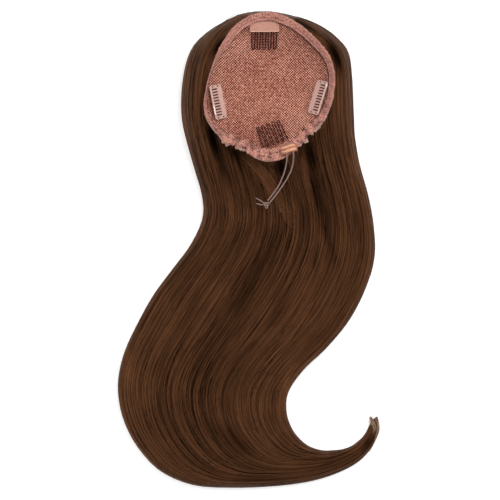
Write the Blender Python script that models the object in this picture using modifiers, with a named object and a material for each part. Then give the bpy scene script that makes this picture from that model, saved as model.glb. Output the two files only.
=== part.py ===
"""A drawstring ponytail hairpiece, laid on its back with the inside of its cap facing up.

The cap is a bowl of net with a gathered band round its rim. Four combs are sewn inside it, and
its drawstring comes out of a small cloth tunnel and ends in a knot. The hair grows from the
outside of the cap, lies under it and falls away in one long S-shaped tail.

Units are metres and +Z is up. +Y points from the tail to the front of the cap. The hair lies
flat on z = 0, and the origin is at the bottom centre of everything but the drawstring.
"""

import math
from collections import namedtuple

import bmesh
import bpy
from mathutils import Matrix, Vector
from mathutils.bvhtree import BVHTree

MM = 0.001

# Clearances
GAP = 0.3 * MM  # between pieces that touch on the real hairpiece
SEAT_CLEARANCE = 0.45 * MM  # from a flat piece to the net below it

# The hair as it lies
LAID_LENGTH = 514 * MM
LAID_WIDTH = 282 * MM
PILE_HEIGHT = 24 * MM  # the tail, at its thickest
HAIR_UNDER_CAP = 8 * MM
HAIR_STATIONS = 50
HAIR_TOP_POINTS = 33
HAIR_ROUNDNESS = 3.6  # the power of a section's crown: 2 is an ellipse, more is squarer
HAIR_WAIST = 0.22  # how high a section is widest, as a share of its height

# The cap
CAP_LENGTH = 161 * MM
CAP_WIDTH = 139 * MM
CAP_DEPTH = 36 * MM
CAP_FRONT_INSET = 2.2 * MM  # from the front of the hair back to the front of the cap
CAP_SIDE_SHIFT = 21 * MM  # the cap lies to the right of the middle of the laid hair
BOWL_POWER = 2.0  # how the wall climbs: 2 is a bowl, more is a flatter floor and a steeper rim
NET_WALL = 1.2 * MM
NET_SPOKES = 48
NET_RINGS = (0.25, 0.45, 0.62, 0.76, 0.87, 0.95, 1.0)

# The elastic casing round the rim
BAND_WIDTH = 9.5 * MM
BAND_THICKNESS = 3.0 * MM
BAND_SEAM = 0.6 * MM  # from the net's edge to the middle of the band's underside
GATHER_RISE = 1.3 * MM
GATHER_PITCH = 7.5 * MM
BAND_SIDES = 8
PLAIN_STEP = 4.5  # degrees between the band's sections where it lies smooth
GATHERED_STEP = 1.5  # and where it is gathered

# The two wire combs
WIRE_DIAMETER = 0.9 * MM
WIRE_COMB_LOOPS = 5
WIRE_COMB_PITCH = 5.8 * MM
WIRE_LOOP_WIDTH = 2.4 * MM  # across a loop's round tip, wire middle to wire middle
WIRE_BAR_WIDTH = 4.4 * MM  # across the same loop at the bar, where it stands wider
WIRE_TOOTH_LENGTH = 28 * MM
PAD_WIDTH = 32 * MM
PAD_DEPTH = 12 * MM
PAD_THICKNESS = 1.6 * MM
PAD_BASE_COVER = 5 * MM  # how far the pad reaches over the teeth

# The two moulded combs
SIDE_COMB_LENGTH = 37 * MM
SIDE_COMB_DEPTH = 17 * MM
SIDE_COMB_THICKNESS = 1.2 * MM
SIDE_COMB_SPINE = 2.2 * MM
SIDE_COMB_BRIDGE = 5.5 * MM
SIDE_COMB_POINT = 2.0 * MM  # the free ends of the teeth, past the bridge
SIDE_COMB_TEETH = 9
END_PLATE = 4.6 * MM
SEWING_HOLE = 1.4 * MM

# The tunnel that the drawstring comes out of
TUNNEL_WIDTH = 17.3 * MM
TUNNEL_DEPTH = 8 * MM
TUNNEL_WALL = 0.9 * MM
TUNNEL_ANGLE = 287.9  # degrees round the rim, from +X
TUNNEL_OVERHANG = 1.5 * MM  # how far it sits outwards of the band's middle
CORD_CLEARANCE = 0.4 * MM

# The drawstring
CORD_DIAMETER = 1.6 * MM
KNOT_SIZE = (6.4 * MM, 8.6 * MM, 4.4 * MM)
TAIL_DIAMETER = 1.4 * MM

# Where each comb is sewn: degrees round the rim, the share of the way from the middle of the
# net to the rim, and how far it is turned on the net, in degrees.
CombPlace = namedtuple("CombPlace", "angle share spin")
COMB_PLACES = {
    "comb_top": CombPlace(93.4, 0.88, -4.0),
    "comb_bottom": CombPlace(277.8, 0.88, 12.0),
    "comb_left": CombPlace(196.3, 0.93, -2.0),
    "comb_right": CombPlace(347.0, 0.94, -2.0),
}

# The hair's sections, from the front of the cap to the tip of the curl. along is a share of
# LAID_LENGTH from the front and across a share of LAID_WIDTH from the middle, both to the
# section's own middle. turn is its slope on the table in degrees, width a share of LAID_WIDTH.
# Its height is pile times PILE_HEIGHT, plus cradle times the rim's height over the table.
Section = namedtuple("Section", "along across turn width pile cradle")
HAIR_SECTIONS = [
    Section(0.002, 0.054, 0.0, 0.065, 0.00, 0.38),
    Section(0.006, 0.054, 0.0, 0.157, 0.00, 0.54),
    Section(0.019, 0.070, 0.0, 0.295, 0.00, 0.76),
    Section(0.044, 0.075, 0.0, 0.460, 0.00, 0.90),
    Section(0.082, 0.079, 0.0, 0.597, 0.00, 0.97),
    Section(0.145, 0.073, 0.0, 0.647, 0.00, 1.00),
    Section(0.225, 0.072, 0.0, 0.653, 0.00, 0.97),
    Section(0.311, 0.101, 0.0, 0.636, 0.10, 0.74),
    Section(0.387, 0.140, -1.0, 0.636, 0.90, 0.12),
    Section(0.450, 0.153, -4.7, 0.657, 1.00, 0.02),
    Section(0.506, 0.130, -4.5, 0.702, 1.00, 0.00),
    Section(0.561, 0.080, -5.3, 0.742, 0.98, 0.00),
    Section(0.623, 0.011, -7.3, 0.753, 0.96, 0.00),
    Section(0.682, -0.063, -7.4, 0.726, 0.94, 0.00),
    Section(0.735, -0.132, -6.0, 0.685, 0.92, 0.00),
    Section(0.786, -0.173, -4.7, 0.651, 0.90, 0.00),
    Section(0.831, -0.175, -3.0, 0.639, 0.88, 0.00),
    Section(0.870, -0.155, 0.0, 0.628, 0.86, 0.00),
    Section(0.906, -0.117, 4.3, 0.607, 0.84, 0.00),
    Section(0.940, -0.054, 9.7, 0.571, 0.80, 0.00),
    Section(0.959, 0.033, 15.0, 0.508, 0.74, 0.00),
    Section(0.962, 0.130, 20.0, 0.411, 0.66, 0.00),
    Section(0.959, 0.228, 27.0, 0.310, 0.56, 0.00),
    Section(0.950, 0.316, 39.0, 0.218, 0.47, 0.00),
    Section(0.934, 0.389, 57.6, 0.143, 0.39, 0.00),
    Section(0.915, 0.439, 81.0, 0.097, 0.32, 0.00),
    Section(0.890, 0.471, 107.0, 0.066, 0.26, 0.00),
    Section(0.868, 0.484, 135.0, 0.043, 0.19, 0.00),
    Section(0.853, 0.490, 148.0, 0.018, 0.12, 0.00),
]

# The grooves between the locks. side is -1 at the left edge of a section and 1 at its right.
# start and end are shares of the run from the front of the cap to the tip, drift is how far
# the groove wanders sideways on the way, depth a share of PILE_HEIGHT, spread a half width.
Groove = namedtuple("Groove", "side drift start end depth spread")
LOCK_GROOVES = [
    Groove(-0.86, 0.06, 0.05, 0.96, 0.07, 0.06),
    Groove(-0.70, 0.05, 0.12, 0.50, 0.20, 0.07),
    Groove(-0.62, 0.08, 0.42, 0.98, 0.08, 0.08),
    Groove(-0.43, 0.12, 0.20, 0.46, 0.26, 0.09),
    Groove(-0.28, 0.06, 0.36, 0.95, 0.10, 0.09),
    Groove(-0.08, 0.10, 0.24, 0.60, 0.12, 0.08),
    Groove(0.06, -0.08, 0.48, 0.98, 0.09, 0.09),
    Groove(0.24, 0.04, 0.26, 0.78, 0.10, 0.08),
    Groove(0.42, 0.08, 0.18, 0.50, 0.30, 0.09),
    Groove(0.56, -0.06, 0.40, 0.98, 0.08, 0.08),
    Groove(0.72, 0.05, 0.04, 0.60, 0.16, 0.07),
    Groove(0.88, -0.04, 0.10, 0.96, 0.07, 0.05),
]

# The rim, a row for every sixteenth of a turn from +X. reach is a share of the ellipse of
# CAP_WIDTH by CAP_LENGTH, out to the band's outer edge. tilt stands the band up, 0 being flat
# and 90 upright, width is a share of BAND_WIDTH, lift a share of CAP_DEPTH, and gather how
# strongly the casing is ruffled.
RimSection = namedtuple("RimSection", "reach tilt width lift gather")
RIM_SECTIONS = [
    RimSection(1.026, 52.0, 0.95, 0.00, 0.15),
    RimSection(1.036, 48.0, 0.95, 0.02, 0.05),
    RimSection(0.966, 38.0, 0.95, 0.01, 0.00),
    RimSection(0.962, 22.0, 0.95, 0.00, 0.00),
    RimSection(1.001, 12.0, 1.00, 0.00, 0.00),
    RimSection(0.980, 16.0, 1.00, 0.00, 0.00),
    RimSection(0.917, 34.0, 0.95, -0.02, 0.00),
    RimSection(0.908, 74.0, 0.62, -0.07, 0.00),
    RimSection(0.964, 84.0, 0.52, -0.09, 0.05),
    RimSection(1.040, 70.0, 0.62, -0.06, 0.20),
    RimSection(1.000, 46.0, 0.95, -0.02, 0.85),
    RimSection(0.957, 36.0, 1.25, 0.00, 1.00),
    RimSection(0.999, 22.0, 1.55, 0.00, 0.90),
    RimSection(0.966, 28.0, 1.14, 0.00, 0.60),
    RimSection(0.936, 42.0, 1.10, 0.02, 1.00),
    RimSection(0.981, 54.0, 1.00, 0.02, 0.45),
]

# The drawstring's route, chosen by hand over the hair, in metres
LEFT_STRAND_ROUTE = [
    (0.0399, 0.1050, 0.0513),
    (0.0406, 0.1029, 0.0524),
    (0.0410, 0.1010, 0.0528),
    (0.0411, 0.0986, 0.0512),
    (0.0410, 0.0962, 0.0476),
    (0.0407, 0.0936, 0.0434),
    (0.0403, 0.0906, 0.0396),
    (0.0396, 0.0870, 0.0366),
    (0.0383, 0.0820, 0.0342),
    (0.0363, 0.0767, 0.0324),
    (0.0325, 0.0683, 0.0298),
    (0.0268, 0.0600, 0.0284),
    (0.0206, 0.0519, 0.0282),
]
RIGHT_STRAND_ROUTE = [
    (0.0468, 0.1073, 0.0513),
    (0.0475, 0.1052, 0.0524),
    (0.0479, 0.1033, 0.0528),
    (0.0481, 0.1009, 0.0512),
    (0.0481, 0.0985, 0.0476),
    (0.0479, 0.0958, 0.0434),
    (0.0476, 0.0926, 0.0396),
    (0.0469, 0.0888, 0.0368),
    (0.0453, 0.0835, 0.0346),
    (0.0423, 0.0773, 0.0328),
    (0.0378, 0.0698, 0.0305),
    (0.0305, 0.0595, 0.0284),
    (0.0226, 0.0496, 0.0282),
]
KNOT_CENTRE = (0.0192, 0.0474, 0.0286)
TAIL_ENDS = [(0.0079, 0.0546, 0.0262), (0.0086, 0.0489, 0.0255)]
CORD_POINT_SPACING = 2.5  # cord diameters between the points of its tube

CORD_PIECES = ("drawstring_left", "drawstring_right", "drawstring_knot")


def clear_scene():
    for thing in list(bpy.data.objects):
        bpy.data.objects.remove(thing, do_unlink=True)


def new_collection(name):
    collection = bpy.data.collections.new(name)
    bpy.context.scene.collection.children.link(collection)
    return collection


def new_material(name, colour, roughness, metallic=0.0):
    material = bpy.data.materials.new(name)
    material.use_nodes = True
    shader = material.node_tree.nodes["Principled BSDF"]
    shader.inputs["Base Color"].default_value = (*colour, 1.0)
    shader.inputs["Roughness"].default_value = roughness
    shader.inputs["Metallic"].default_value = metallic
    return material


def add_object(name, data, material, collection):
    thing = bpy.data.objects.new(name, data)
    if material is not None:
        data.materials.append(material)
    collection.objects.link(thing)
    return thing


def mesh_from(name, points, faces, smooth_angle=None):
    """A mesh of these faces, with its normals turned outwards."""
    mesh = bpy.data.meshes.new(name)
    mesh.from_pydata([tuple(point) for point in points], [], faces)
    shape = bmesh.new()
    shape.from_mesh(mesh)
    bmesh.ops.recalc_face_normals(shape, faces=shape.faces)
    shape.to_mesh(mesh)
    shape.free()
    if smooth_angle is not None:
        mesh.shade_smooth()
        mesh.set_sharp_from_angle(angle=math.radians(smooth_angle))
    return mesh


def as_mesh_object(source, name, material, collection):
    """The evaluated shape of a curve or a cut mesh as a plain mesh, in place of its source."""
    bpy.context.view_layer.update()
    mesh = bpy.data.meshes.new_from_object(source.evaluated_get(bpy.context.evaluated_depsgraph_get()))
    shape = bmesh.new()
    shape.from_mesh(mesh)
    bmesh.ops.remove_doubles(shape, verts=shape.verts, dist=0.00001)
    bmesh.ops.recalc_face_normals(shape, faces=shape.faces)
    shape.to_mesh(mesh)
    shape.free()
    mesh.materials.clear()
    thing = add_object(name, mesh, material, collection)
    thing.matrix_world = source.matrix_world.copy()
    bpy.data.objects.remove(source, do_unlink=True)
    return thing


def smooth_between(before, start, end, after, share):
    """A value on the smooth curve through start and end that heads for their neighbours."""
    return 0.5 * (
        2 * start
        + (end - before) * share
        + (2 * before - 5 * start + 4 * end - after) * share**2
        + (3 * start - before - 3 * end + after) * share**3
    )


def open_row(rows, position):
    """The row at a fractional place in a table that has two ends."""
    low = min(int(position), len(rows) - 2)
    near = [rows[min(max(low + step, 0), len(rows) - 1)] for step in (-1, 0, 1, 2)]
    return type(rows[0])(*(smooth_between(*values, position - low) for values in zip(*near)))


def closed_row(rows, position):
    """The row at a fractional place in a table that runs round a ring."""
    low = math.floor(position)
    near = [rows[(low + step) % len(rows)] for step in (-1, 0, 1, 2)]
    return type(rows[0])(*(smooth_between(*values, position - low) for values in zip(*near)))


def rim_at(angle):
    """The rim's table at an angle in radians."""
    return closed_row(RIM_SECTIONS, angle / math.tau * len(RIM_SECTIONS))


def rim_reach(angle):
    """From the middle of the cap to the band's outer edge."""
    ellipse = math.hypot(math.cos(angle) / (CAP_WIDTH / 2), math.sin(angle) / (CAP_LENGTH / 2))
    return rim_at(angle).reach / ellipse


def net_floor():
    """The height of the inside of the net at the middle of the bowl."""
    return HAIR_UNDER_CAP + GAP + NET_WALL


def cap_centre():
    front = LAID_LENGTH / 2 - CAP_FRONT_INSET
    return Vector((CAP_SIDE_SHIFT, front - rim_reach(math.radians(90)), 0))


def band_half_axes(angle):
    return rim_at(angle).width * BAND_WIDTH / 2, BAND_THICKNESS / 2


def band_seen_half(angle):
    """Half the width that the band shows from above."""
    tilt = math.radians(rim_at(angle).tilt)
    wide, thick = band_half_axes(angle)
    return math.hypot(wide * math.cos(tilt), thick * math.sin(tilt))


def band_frame(angle):
    """The middle of the band's section, its long axis out over the rim, and its upward face."""
    tilt = math.radians(rim_at(angle).tilt)
    outward = Vector((math.cos(angle), math.sin(angle), 0))
    height = net_floor() + CAP_DEPTH * (1 + rim_at(angle).lift)
    middle = cap_centre() + outward * (rim_reach(angle) - band_seen_half(angle))
    middle.z = height
    long_axis = outward * math.cos(tilt) + Vector((0, 0, math.sin(tilt)))
    face = Vector((0, 0, math.cos(tilt))) - outward * math.sin(tilt)
    return middle, long_axis, face


def net_edge_height(angle):
    """The top of the net, just under the band."""
    tilt = math.radians(rim_at(angle).tilt)
    wide, thick = band_half_axes(angle)
    below = wide * thick / math.hypot(thick * math.sin(tilt), wide * math.cos(tilt))
    return band_frame(angle)[0].z - below - BAND_SEAM


def net_point(angle, share):
    """A point on the inside of the net, from its middle at share 0 to its edge at share 1."""
    edge = rim_reach(angle) - band_seen_half(angle)
    point = cap_centre() + Vector((math.cos(angle), math.sin(angle), 0)) * edge * share
    point.z = net_floor() + (net_edge_height(angle) - net_floor()) * share**BOWL_POWER
    return point


def seat_on_net(place, depth, underside):
    """Lays a flat piece on the net, as a matrix: its x runs along the rim, its y up the wall
    towards the rim, and its z away from the net. It rests on the net at its upper edge and
    again at its depth below that. underside holds the points of the piece that come closest
    to the net, and the piece is raised until all of them clear it."""
    angle = math.radians(place.angle)
    step = 0.01
    seat = net_point(angle, place.share)
    low_share = place.share
    while low_share > 0 and (seat - net_point(angle, low_share)).length < depth:
        low_share -= step
    up_wall = (seat - net_point(angle, low_share)).normalized()
    along = (net_point(angle + step, place.share) - seat).normalized()
    face = along.cross(up_wall).normalized()
    if face.z < 0:
        face.negate()
    axes = Matrix((up_wall.cross(face), up_wall, face)).transposed().to_4x4()
    turned = axes @ Matrix.Rotation(math.radians(place.spin), 4, "Z")
    net = BVHTree.FromPolygons(*net_surface())
    rise = 0.0
    for x, y, z in underside:
        point = seat + turned @ Vector((x, y, z))
        above = point + face * CAP_DEPTH
        hit = net.ray_cast(above, -face)[0]
        if hit is not None:
            rise = max(rise, (hit - point).dot(face))
    return Matrix.Translation(seat + face * (SEAT_CLEARANCE + rise)) @ turned


def ring_faces(first, second, count):
    """The quads between two rings of points, given the index where each ring starts."""
    return [
        (first + i, first + (i + 1) % count, second + (i + 1) % count, second + i)
        for i in range(count)
    ]


def net_surface():
    """The points and faces of the inside of the net, as an open bowl."""
    points = [net_point(0, 0)]
    for share in NET_RINGS:
        points += [net_point(math.tau * i / NET_SPOKES, share) for i in range(NET_SPOKES)]
    faces = [(0, 1 + i, 1 + (i + 1) % NET_SPOKES) for i in range(NET_SPOKES)]
    for ring in range(len(NET_RINGS) - 1):
        start = 1 + ring * NET_SPOKES
        faces += ring_faces(start + NET_SPOKES, start, NET_SPOKES)
    return points, faces


def open_bowl(name):
    """The inside of the net as a mesh whose faces look up, into the cap."""
    points, faces = net_surface()
    mesh = bpy.data.meshes.new(name)
    mesh.from_pydata([tuple(point) for point in points], [], faces)
    mesh.update()
    return mesh


def build_cap_net(parts, net_cloth):
    mesh = open_bowl("cap_net")
    mesh.shade_smooth()
    net = add_object("cap_net", mesh, net_cloth, parts)
    wall = net.modifiers.new("net_wall", "SOLIDIFY")
    wall.thickness = NET_WALL
    wall.offset = -1.0  # the wall grows downwards, out of the cap
    return net


def build_cap_hollow(cutters):
    """The space in the hair that the net and its band fill: the outside of the net with the
    usual gap, then a shelf under the band and a straight wall up past it."""
    mesh = open_bowl("cap_hollow")
    lowered = [vertex.co - vertex.normal * (NET_WALL + GAP) for vertex in mesh.vertices]
    points, faces = lowered, [tuple(face.vertices) for face in mesh.polygons]
    edge_start = len(points) - NET_SPOKES
    shelf_start = len(points)
    lid_height = net_floor() + 2 * CAP_DEPTH
    for i in range(NET_SPOKES):
        angle = math.tau * i / NET_SPOKES
        outward = Vector((math.cos(angle), math.sin(angle), 0))
        shelf = cap_centre() + outward * (rim_reach(angle) + GATHER_RISE + GAP)
        shelf.z = points[edge_start + i].z
        points.append(shelf)
    for i in range(NET_SPOKES):
        points.append(Vector((points[shelf_start + i].x, points[shelf_start + i].y, lid_height)))
    faces += ring_faces(edge_start, shelf_start, NET_SPOKES)
    faces += ring_faces(shelf_start, shelf_start + NET_SPOKES, NET_SPOKES)
    faces.append(tuple(shelf_start + NET_SPOKES + i for i in range(NET_SPOKES)))
    hollow = add_object("cap_hollow", mesh_from("cap_hollow", points, faces), None, cutters)
    hollow.hide_render = True
    hollow.display_type = "WIRE"
    return hollow


def gather_wave(angle):
    """How far the casing puffs out at an angle, from -1 to 1, in folds of uneven size."""
    folds = round(math.pi * (CAP_LENGTH + CAP_WIDTH) / 2 / GATHER_PITCH)
    broad_folds = round(folds / 1.7)
    return 0.6 * math.cos(folds * angle) + 0.4 * math.cos(broad_folds * angle + 1)


def band_angles():
    """The places of the band's sections, closer together where it is gathered."""
    angles = []
    at = 0.0
    while at < 360:
        angles.append(math.radians(at))
        gathered = rim_at(math.radians(at)).gather > 0.3
        at += GATHERED_STEP if gathered else PLAIN_STEP
    return angles


def build_rim_band(parts, casing_cloth):
    points = []
    angles = band_angles()
    for angle in angles:
        middle, long_axis, face = band_frame(angle)
        puff = rim_at(angle).gather * gather_wave(angle) * GATHER_RISE
        wide, thick = band_half_axes(angle)
        for i in range(BAND_SIDES):
            around = math.tau * (i + 0.5) / BAND_SIDES
            across = math.copysign(abs(math.cos(around)) ** 0.8, math.cos(around)) * wide
            over = math.copysign(abs(math.sin(around)) ** 0.8, math.sin(around)) * thick
            across += puff * (1 + math.cos(around)) / 2
            over += puff * 0.6 * max(math.sin(around), 0)
            points.append(middle + long_axis * across + face * over)
    faces = []
    for ring in range(len(angles)):
        following = (ring + 1) % len(angles)
        faces += ring_faces(ring * BAND_SIDES, following * BAND_SIDES, BAND_SIDES)
    mesh = mesh_from("rim_band", points, faces, smooth_angle=60)
    return add_object("rim_band", mesh, casing_cloth, parts)


def section_sides():
    """The places across a section's crown, from -1 to 1, closer together near its sides."""
    spread = [2 * i / (HAIR_TOP_POINTS - 1) - 1 for i in range(HAIR_TOP_POINTS)]
    return [side * (1.25 - 0.25 * side * side) for side in spread]


def groove_depth(side, run):
    """How far the crown dips between the locks, at a side and a share of the run."""
    depth = 0.0
    for groove in LOCK_GROOVES:
        share = (run - groove.start) / (groove.end - groove.start)
        if 0 < share < 1:
            centre = groove.side + groove.drift * share
            valley = math.exp(-(((side - centre) / groove.spread) ** 2))
            depth += groove.depth * PILE_HEIGHT * valley * math.sin(math.pi * share) ** 0.5
    return depth


def hair_rings():
    """The closed sections of the hair: a crown with its grooves over a flat underside."""
    rim_height = net_floor() + CAP_DEPTH
    steps = [i * (len(HAIR_SECTIONS) - 1) / (HAIR_STATIONS - 1) for i in range(HAIR_STATIONS)]
    rows = [open_row(HAIR_SECTIONS, step) for step in steps]
    middles = [
        Vector((row.across * LAID_WIDTH, (0.5 - row.along) * LAID_LENGTH, 0)) for row in rows
    ]
    travelled = [0.0]
    for before, after in zip(middles, middles[1:]):
        travelled.append(travelled[-1] + (after - before).length)
    underside = [(0.985, 0.09), (0.92, 0.0), (0.45, 0.0), (-0.45, 0.0), (-0.92, 0.0), (-0.985, 0.09)]
    rings = []
    for row, middle, distance in zip(rows, middles, travelled):
        turn = math.radians(row.turn)
        across = Vector((math.cos(turn), math.sin(turn), 0)) * row.width * LAID_WIDTH / 2
        height = row.pile * PILE_HEIGHT + row.cradle * rim_height
        waist = HAIR_WAIST * height
        ring = []
        for side in section_sides():
            crown = max(1 - abs(side) ** HAIR_ROUNDNESS, 0) ** 0.5
            dip = groove_depth(side, distance / travelled[-1]) * crown
            ring.append(middle + across * side + Vector((0, 0, waist + (height - waist) * crown - dip)))
        for side, share in underside:
            ring.append(middle + across * side + Vector((0, 0, share * height)))
        rings.append(ring)
    return rings


def build_hair(parts, hollow, hair_fibre):
    rings = hair_rings()
    count = len(rings[0])
    points = [point for ring in rings for point in ring]
    faces = [tuple(range(count)), tuple(range(len(points) - count, len(points)))]
    for ring in range(len(rings) - 1):
        faces += ring_faces(ring * count, (ring + 1) * count, count)
    hair = add_object("hair", mesh_from("hair", points, faces, smooth_angle=50), hair_fibre, parts)
    cut = hair.modifiers.new("cap_hollow", "BOOLEAN")
    cut.operation = "DIFFERENCE"
    cut.object = hollow
    return hair


def wire_comb_route():
    """One wire bent into hairpin loops side by side, from the bar at y 0 down to the tips."""
    tip_radius = WIRE_LOOP_WIDTH / 2
    bar_radius = (WIRE_COMB_PITCH - WIRE_BAR_WIDTH) / 2
    bends = 4
    route = []
    for loop in range(WIRE_COMB_LOOPS):
        middle = (loop - (WIRE_COMB_LOOPS - 1) / 2) * WIRE_COMB_PITCH
        tip_centre = Vector((middle, -(WIRE_TOOTH_LENGTH - tip_radius), 0))
        bar_centre = Vector((middle + WIRE_COMB_PITCH / 2, -bar_radius, 0))
        for i in range(bends + 1):
            turn = math.pi + math.pi * i / bends
            route.append(tip_centre + Vector((math.cos(turn), math.sin(turn), 0)) * tip_radius)
        if loop < WIRE_COMB_LOOPS - 1:
            for i in range(bends + 1):
                turn = math.pi - math.pi * i / bends
                route.append(bar_centre + Vector((math.cos(turn), math.sin(turn), 0)) * bar_radius)
    end_x = ((WIRE_COMB_LOOPS - 1) * WIRE_COMB_PITCH + WIRE_BAR_WIDTH) / 2
    return [Vector((-end_x, 0, 0)), *route, Vector((end_x, 0, 0))]


def tube(name, route, diameter, material, collection, resolution=2):
    """A round tube along a list of points, with its ends filled."""
    curve = bpy.data.curves.new(name, "CURVE")
    curve.dimensions = "3D"
    curve.bevel_depth = diameter / 2
    curve.bevel_resolution = resolution
    curve.use_fill_caps = True
    spline = curve.splines.new("POLY")
    spline.points.add(len(route) - 1)
    for target, point in zip(spline.points, route):
        target.co = (*point, 1)
    return add_object(name, curve, material, collection)


def build_wire_comb(name, parts, lacquered_wire, cover=()):
    """A wire comb lying on the net. Its matrix also seats what is sewn over its bar, whose
    underside is given as cover."""
    route = wire_comb_route()
    seat = seat_on_net(COMB_PLACES[name], WIRE_TOOTH_LENGTH, [*route, *cover])
    comb = tube(name, route, WIRE_DIAMETER, lacquered_wire, parts, resolution=1)
    comb.matrix_world = seat @ Matrix.Translation((0, 0, WIRE_DIAMETER / 2))
    return seat


def outline_spline(curve, outline):
    spline = curve.splines.new("POLY")
    spline.points.add(len(outline) - 1)
    for target, (x, y) in zip(spline.points, outline):
        target.co = (x, y, 0, 1)
    spline.use_cyclic_u = True


def flat_piece(name, outlines, thickness, material, collection):
    """A flat outline with its holes, thickened about its own plane."""
    curve = bpy.data.curves.new(name, "CURVE")
    curve.dimensions = "2D"
    curve.fill_mode = "BOTH"
    curve.extrude = thickness / 2
    for outline in outlines:
        outline_spline(curve, outline)
    return add_object(name, curve, material, collection)


def comb_pad_outline():
    """The pad sewn over the top comb's bar, seen flat: a straight edge over the teeth and an
    arched one towards the rim."""
    straight = -PAD_BASE_COVER
    arch = PAD_DEPTH - PAD_BASE_COVER
    corner = 0.42 * PAD_DEPTH
    outline = [(-PAD_WIDTH / 2, straight), (PAD_WIDTH / 2, straight)]
    steps = 8
    for i in range(steps + 1):
        turn = math.pi * i / steps
        x = math.copysign(abs(math.cos(turn)) ** 0.6, math.cos(turn)) * PAD_WIDTH / 2
        y = straight + corner + (arch - straight - corner) * math.sin(turn) ** 0.8
        outline.append((x, y))
    return outline


def build_padded_comb(parts, lacquered_wire, pad_cloth):
    """The top comb and, a gap above its wire, the cloth pad sewn over its bar."""
    outline = comb_pad_outline()
    lift = WIRE_DIAMETER + GAP
    seat = build_wire_comb("comb_top", parts, lacquered_wire, [(x, y, lift) for x, y in outline])
    pad = flat_piece("comb_top_pad", [outline], PAD_THICKNESS, pad_cloth, parts)
    pad.matrix_world = seat @ Matrix.Translation((0, 0, lift + PAD_THICKNESS / 2))


def side_comb_outlines():
    """A moulded comb seen flat: a spine at y 0, teeth that hang from it and are joined again
    by a bridge, points past the bridge, and a plate with two sewing holes at each end."""
    half = SIDE_COMB_LENGTH / 2
    bridge_edge = -(SIDE_COMB_DEPTH - SIDE_COMB_POINT)
    pitch = (SIDE_COMB_LENGTH - 2 * END_PLATE) / SIDE_COMB_TEETH
    tooth = 0.5 * pitch
    outer = [(-half, bridge_edge), (-half, 0), (half, 0), (half, bridge_edge)]
    for i in reversed(range(SIDE_COMB_TEETH)):
        middle = -half + END_PLATE + pitch * (i + 0.5)
        outer.append((middle + tooth / 2, bridge_edge))
        outer.append((middle, -SIDE_COMB_DEPTH))
        outer.append((middle - tooth / 2, bridge_edge))
    slots = []
    for i in range(SIDE_COMB_TEETH + 1):
        left = -half + END_PLATE + pitch * i - (pitch - tooth) / 2
        right = left + pitch - tooth
        low = bridge_edge + SIDE_COMB_BRIDGE
        slots.append([(left, -SIDE_COMB_SPINE), (left, low), (right, low), (right, -SIDE_COMB_SPINE)])
    holes = []
    for side in (-1, 1):
        for share in (0.28, 0.72):
            centre_x = side * (half - END_PLATE * 0.38)
            centre_y = bridge_edge * share
            hole = []
            for i in range(6):
                turn = math.tau * i / 6
                x = centre_x + math.cos(turn) * SEWING_HOLE / 2
                hole.append((x, centre_y + math.sin(turn) * SEWING_HOLE / 2))
            holes.append(hole)
    return [outer, *slots, *holes]


def build_side_comb(name, parts, clear_plastic):
    outlines = side_comb_outlines()
    seat = seat_on_net(COMB_PLACES[name], SIDE_COMB_DEPTH, [(x, y, 0) for x, y in outlines[0]])
    comb = flat_piece(name, outlines, SIDE_COMB_THICKNESS, clear_plastic, parts)
    comb.matrix_world = seat @ Matrix.Translation((0, 0, SIDE_COMB_THICKNESS / 2))
    return comb


def new_box(name, size, collection):
    mesh = bpy.data.meshes.new(name)
    shape = bmesh.new()
    bmesh.ops.create_cube(shape, size=1.0)
    bmesh.ops.scale(shape, verts=shape.verts, vec=size)
    shape.to_mesh(mesh)
    shape.free()
    return add_object(name, mesh, None, collection)


def build_cord_tunnel(parts, cutters, ribbon_cloth):
    """A folded ribbon sewn on the band as a flat sleeve, open towards the hair."""
    slot_height = CORD_DIAMETER + 2 * CORD_CLEARANCE
    size = (TUNNEL_WIDTH, TUNNEL_DEPTH, slot_height + 2 * TUNNEL_WALL)
    sleeve = new_box("cord_tunnel", size, parts)
    sleeve.data.materials.append(ribbon_cloth)
    slot_size = (TUNNEL_WIDTH - 2 * TUNNEL_WALL, TUNNEL_DEPTH * 2, slot_height)
    slot = new_box("cord_slot", slot_size, cutters)
    slot.hide_render = True
    slot.display_type = "WIRE"
    rounded = sleeve.modifiers.new("soft_edges", "BEVEL")
    rounded.width = TUNNEL_WALL * 0.6
    rounded.segments = 1
    opened = sleeve.modifiers.new("cord_slot", "BOOLEAN")
    opened.operation = "DIFFERENCE"
    opened.object = slot
    angle = math.radians(TUNNEL_ANGLE)
    middle, long_axis, face = band_frame(angle)
    raise_by = BAND_THICKNESS / 2 * 1.35 + GATHER_RISE * 0.5 + GAP + size[2] / 2
    axes = Matrix((long_axis.cross(face), long_axis, face)).transposed().to_4x4()
    placed = Matrix.Translation(middle + face * raise_by + long_axis * TUNNEL_OVERHANG) @ axes
    sleeve.matrix_world = placed
    slot.matrix_world = placed
    return sleeve


def smooth_route(route, diameter):
    """Points along a smooth curve through the chosen ones, a few diameters apart."""
    points = [Vector(point) for point in route]
    fine = []
    for low in range(len(points) - 1):
        near = [points[min(max(low + step, 0), len(points) - 1)] for step in (-1, 0, 1, 2)]
        fine += [smooth_between(*near, i / 10) for i in range(10)]
    fine.append(points[-1])
    spaced = [fine[0]]
    for point in fine[1:-1]:
        if (point - spaced[-1]).length >= CORD_POINT_SPACING * diameter:
            spaced.append(point)
    return [*spaced, fine[-1]]


def build_drawstring(parts, cord_yarn):
    for name, route in (
        ("drawstring_left", LEFT_STRAND_ROUTE),
        ("drawstring_right", RIGHT_STRAND_ROUTE),
    ):
        tube(name, smooth_route(route, CORD_DIAMETER), CORD_DIAMETER, cord_yarn, parts)


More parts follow.
